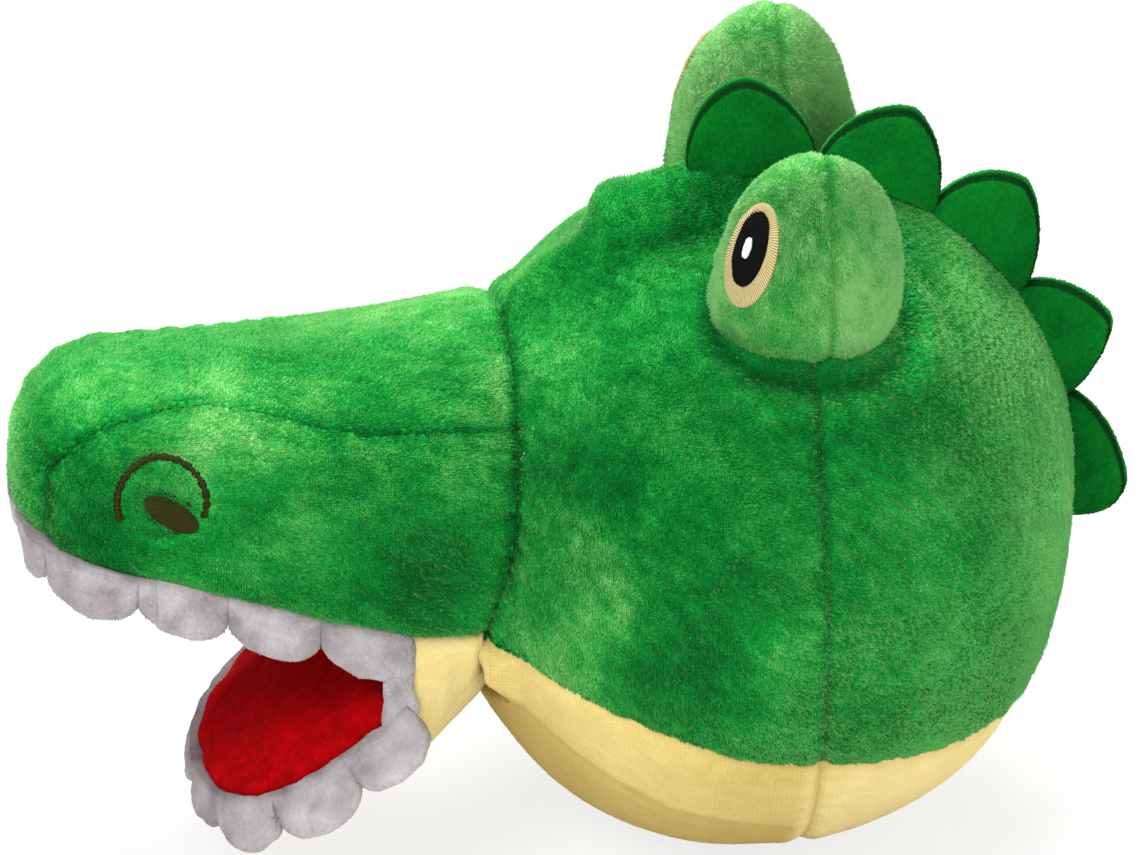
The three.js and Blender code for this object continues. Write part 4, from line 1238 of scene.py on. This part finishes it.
jaw_bm = remeshed([ball(6, jaw_form)], 1.1 * FINE, 3)
jaw_places = np.array([-15, 0, 10, 20, 28, 34, 39, 43, 50])
store_normals(jaw_bm, lambda normals: tipped(normals, JAW_GAPE))
cut_along(jaw_bm, spots(jaw_places, jaw_edge(jaw_places)))
bisect(jaw_bm, faces_where(jaw_bm, lambda p: p.z > 4), (0, -JAW_CORNER, 0), (0, 1, 0))
lined = np.array([is_lining(face.calc_center_median()) for face in jaw_bm.faces])
for node, kept, pile, slot in (("jaw_lining", lined, {**SMOOTH_VELOUR, "height": 0.3}, "red_velour"),
                               ("jaw_underside", ~lined, SMOOTH_VELOUR, "cream_velour")):
    panel = part_of(jaw_bm, kept)
    move_to(panel, hang_jaw(points_of(panel)))
    mesh = pile_up(node, panel, jaw_relief, pile)
    finish_piece(f"{node}_panel", mesh, "lower_jaw", slot, [node])

jaw_edge_places = crowded(5, JAW_LENGTH)
lower_edge = around_mouth(jaw_edge_places, jaw_section(jaw_edge_places)[1], jaw_edge(jaw_edge_places))
plump("lower_tooth_lobes", 300, 26, tooth_form(lower_edge, 8, 9.4, 50, 50, 0.4), FLEECE, "white_fleece",
      ["lower_teeth"], body="lower_jaw", place=hang_jaw)

# %% [markdown]
# Cream cloth closes each corner of the mouth. The belly's front ends in an upright seam there, and a cheek
# runs on from that seam, between the lip and the jaw. A white lobe stands over the cheek's front edge.

# %% Mouth corners
CHEEK_SEAM, CHEEK_BACK, CHEEK_FRONT, CHEEK_BULGE = 51.8, 50.8, 64.8, 2.2
CHEEK_LOW = ([51.8, 55, 59, 63, 64.8], [41.5, 37.5, 32.5, 29.5, 28.5])
LOBE_PLACE, LOBE_HIGH, LOBE_LOW = 65.6, 52, 33
FAR_OUT = 80
hung_bm = jaw_bm.copy()
move_to(hung_bm, hang_jaw(points_of(hung_bm)))
jaw_surface = BVHTree.FromBMesh(hung_bm)


def reach_at(place, height):
    """How far the body or the jaw reaches to the side."""
    start, inward = (FAR_OUT, -place, height), (-1, 0, 0)
    hits = [surface.ray_cast(start, inward)[0] for surface in (snout_surface, jaw_surface)]
    return max((hit.x for hit in hits if hit), default=0)


def cheek_form(sign):
    """A pad from just over the lip down to the line of its lower edge on the jaw."""
    places = np.linspace(CHEEK_BACK, CHEEK_FRONT, 40)
    high, low = lip_height(places) + 1.0, np.interp(places, *CHEEK_LOW)
    high_x = np.array([reach_at(place, height) for place, height in zip(places, high)]) - 1.4
    low_x = np.array([reach_at(place, height) for place, height in zip(places, low)]) - 0.6

    def form(u, v, side):
        place, down = mix(CHEEK_BACK, CHEEK_FRONT, (u + 1) / 2), (v + 1) / 2
        x = mix(np.interp(place, places, high_x), np.interp(place, places, low_x), down)
        x = x + np.where(side > 0, CHEEK_BULGE * rim(u, 5) * rim(v, 2.2), -1.2 * rim(u, 3) * rim(v, 3))
        height = mix(lip_height(place) + 1.0, np.interp(place, places, low), down)
        # Painted shade darkens the cloth along the upright seam.
        return spots(sign * x, -place, height), -0.14 * bell(place - CHEEK_SEAM, 0.8)
    return form


def corner_form(sign):
    high_x, low_x = reach_at(65.5, 51.5) - 1.2, reach_at(65.5, 36) + 0.8

    def form(u, v, side):
        down = (u + 1) / 2
        width = 3.0 * rim(u, 3.5) * (1 + 0.13 * np.sin(9 * down))
        x = mix(high_x, low_x, down) + side * 1.5 * rim(v, 2.4) * rim(u, 3)
        spot = spots(sign * x, -LOBE_PLACE - v * width, mix(LOBE_HIGH, LOBE_LOW, down))
        return spot, 0 * u - 0.05
    return form


for side_name, sign in (("left", 1), ("right", -1)):
    plump(f"jaw_cheek_{side_name}", 34, 48, cheek_form(sign), SMOOTH_VELOUR, "cream_velour", [],
          body=((sign * 0.027, -0.053, 0.046), (sign * 0.027, -0.061, 0.036)))
    plump(f"corner_lobe_{side_name}", 48, 16, corner_form(sign), FLEECE, "white_fleece", [],
          body=((sign * 0.027, -0.0655, 0.048), (sign * 0.027, -0.0655, 0.039)))

# %% [markdown]
# ## Fillings
# The head is filled with one block of cut foam that springs back after a squeeze. The snout, jaw and mounds
# are stuffed with loose fibre. They are the same forms as their covers, drawn in by the cloth's thickness.

# %% Fillings
FILLING_VOXEL = 2.5


def filling(name, shape, shrink, slot, node, body=BODY, place=None, cut=None):
    """Draws a form in by shrink. Where cut is given it is a plane, and what lies beyond it goes."""
    bm = remeshed([shape], FILLING_VOXEL, 2)
    bm.normal_update()
    for vert in bm.verts:
        vert.co -= shrink * vert.normal
    if cut:
        geom = [*bm.verts, *bm.edges, *bm.faces]
        done = bmesh.ops.bisect_plane(bm, geom=geom, plane_co=cut[0], plane_no=cut[1], clear_outer=True)
        edges = [item for item in done["geom_cut"] if isinstance(item, bmesh.types.BMEdge)]
        bmesh.ops.holes_fill(bm, edges=edges)
    if place:
        move_to(bm, place(points_of(bm)))
    finish_piece(name, open_mesh(name, bm), body, slot, [node])


filling("head_foam_block", ball(5, head_form), 3.6, "cut_foam", "head_foam_core",
        cut=((0, 1 - SNOUT_SEAM, 0), (0, -1, 0)))
filling("snout_fibre_wad", ball(5, snout_form), 3.6, "fibre_filling", "snout_stuffing",
        cut=((0, -1 - SNOUT_SEAM, 0), (0, 1, 0)))
filling("jaw_fibre_wad", ball(5, jaw_form), 3.0, "fibre_filling", "jaw_stuffing", "lower_jaw", hang_jaw)
filling("eye_fibre_wad_left", ball(5, mound_form), 2.8, "fibre_filling", "eye_stuffing_left")
filling("eye_fibre_wad_right", mirrored(ball(5, mound_form)), 2.8, "fibre_filling", "eye_stuffing_right")

# %% [markdown]
# ## Light and background
# Three large soft lamps and a plain pale world light the toy evenly, as in a small studio. The world looks
# white to the camera and in reflections, and a pale floor keeps the toy's shadow. The floor lies 0.3 mm low,
# so that the pile under the belly doesn't poke through it.

# %% Studio
FLOOR_RADIUS, FLOOR_DROP = 1.6, 0.3 * MM
WORLD_LIGHT, FLOOR_GLOW = 0.42, 0.8
WHITE = (1, 1, 1, 1)


def lamp(name, place, size, power):
    light = bpy.data.lights.new(name, "AREA")
    light.shape, light.size, light.energy = "DISK", size, power
    thing = add_object(name, light)
    thing.location = place
    thing.rotation_euler = (Vector(place) - Vector((0, -0.03, 0.065))).to_track_quat("Z", "Y").to_euler()


lamp("key", (0.75, -0.75, 1.15), 0.7, 14)
lamp("fill", (1.3, 0.55, 0.6), 0.9, 6)
lamp("top", (-0.35, 0.05, 1.35), 0.8, 20)

world = emptied(bpy.data.worlds.new("studio"))
bpy.context.scene.world = world
rays = add_node(world, "LightPath").outputs
seen = rays["Is Camera Ray"]
for other in ("Is Glossy Ray", "Is Transmission Ray"):
    seen = reckoned(world, "MAXIMUM", seen, rays[other])
plain = add_node(world, "Background", {"Color": WHITE, "Strength": WORLD_LIGHT})
white = add_node(world, "Background", {"Color": WHITE, "Strength": 1.0})
sky = add_node(world, "MixShader", None, {0: seen, 1: plain.outputs[0], 2: white.outputs[0]})
add_node(world, "OutputWorld", None, {"Surface": sky.outputs[0]})

floor_bm = bmesh.new()
bmesh.ops.create_circle(floor_bm, cap_ends=True, radius=FLOOR_RADIUS, segments=96)
bmesh.ops.translate(floor_bm, vec=(0, 0, -FLOOR_DROP), verts=floor_bm.verts)
floor = add_object("floor", open_mesh("floor", floor_bm))
# White paper without a seam: it takes the shadow, and glows a little so that it stays white to the camera.
paper = emptied(bpy.data.materials.new("white_seamless_paper"))
sheet = add_node(paper, "BsdfDiffuse", {"Color": linear("#F4F4F4")})
glow = add_node(paper, "Emission", {"Strength": 1.0})
rays = add_node(paper, "LightPath").outputs
share = reckoned(paper, "MULTIPLY", rays["Is Camera Ray"], FLOOR_GLOW)
both = add_node(paper, "MixShader", None, {0: share, 1: sheet.outputs[0], 2: glow.outputs[0]})
add_node(paper, "OutputMaterial", None, {"Surface": both.outputs[0]})
floor.data.materials.append(paper)
bpy.context.scene.view_settings.view_transform = "Standard"
print("studio ready")
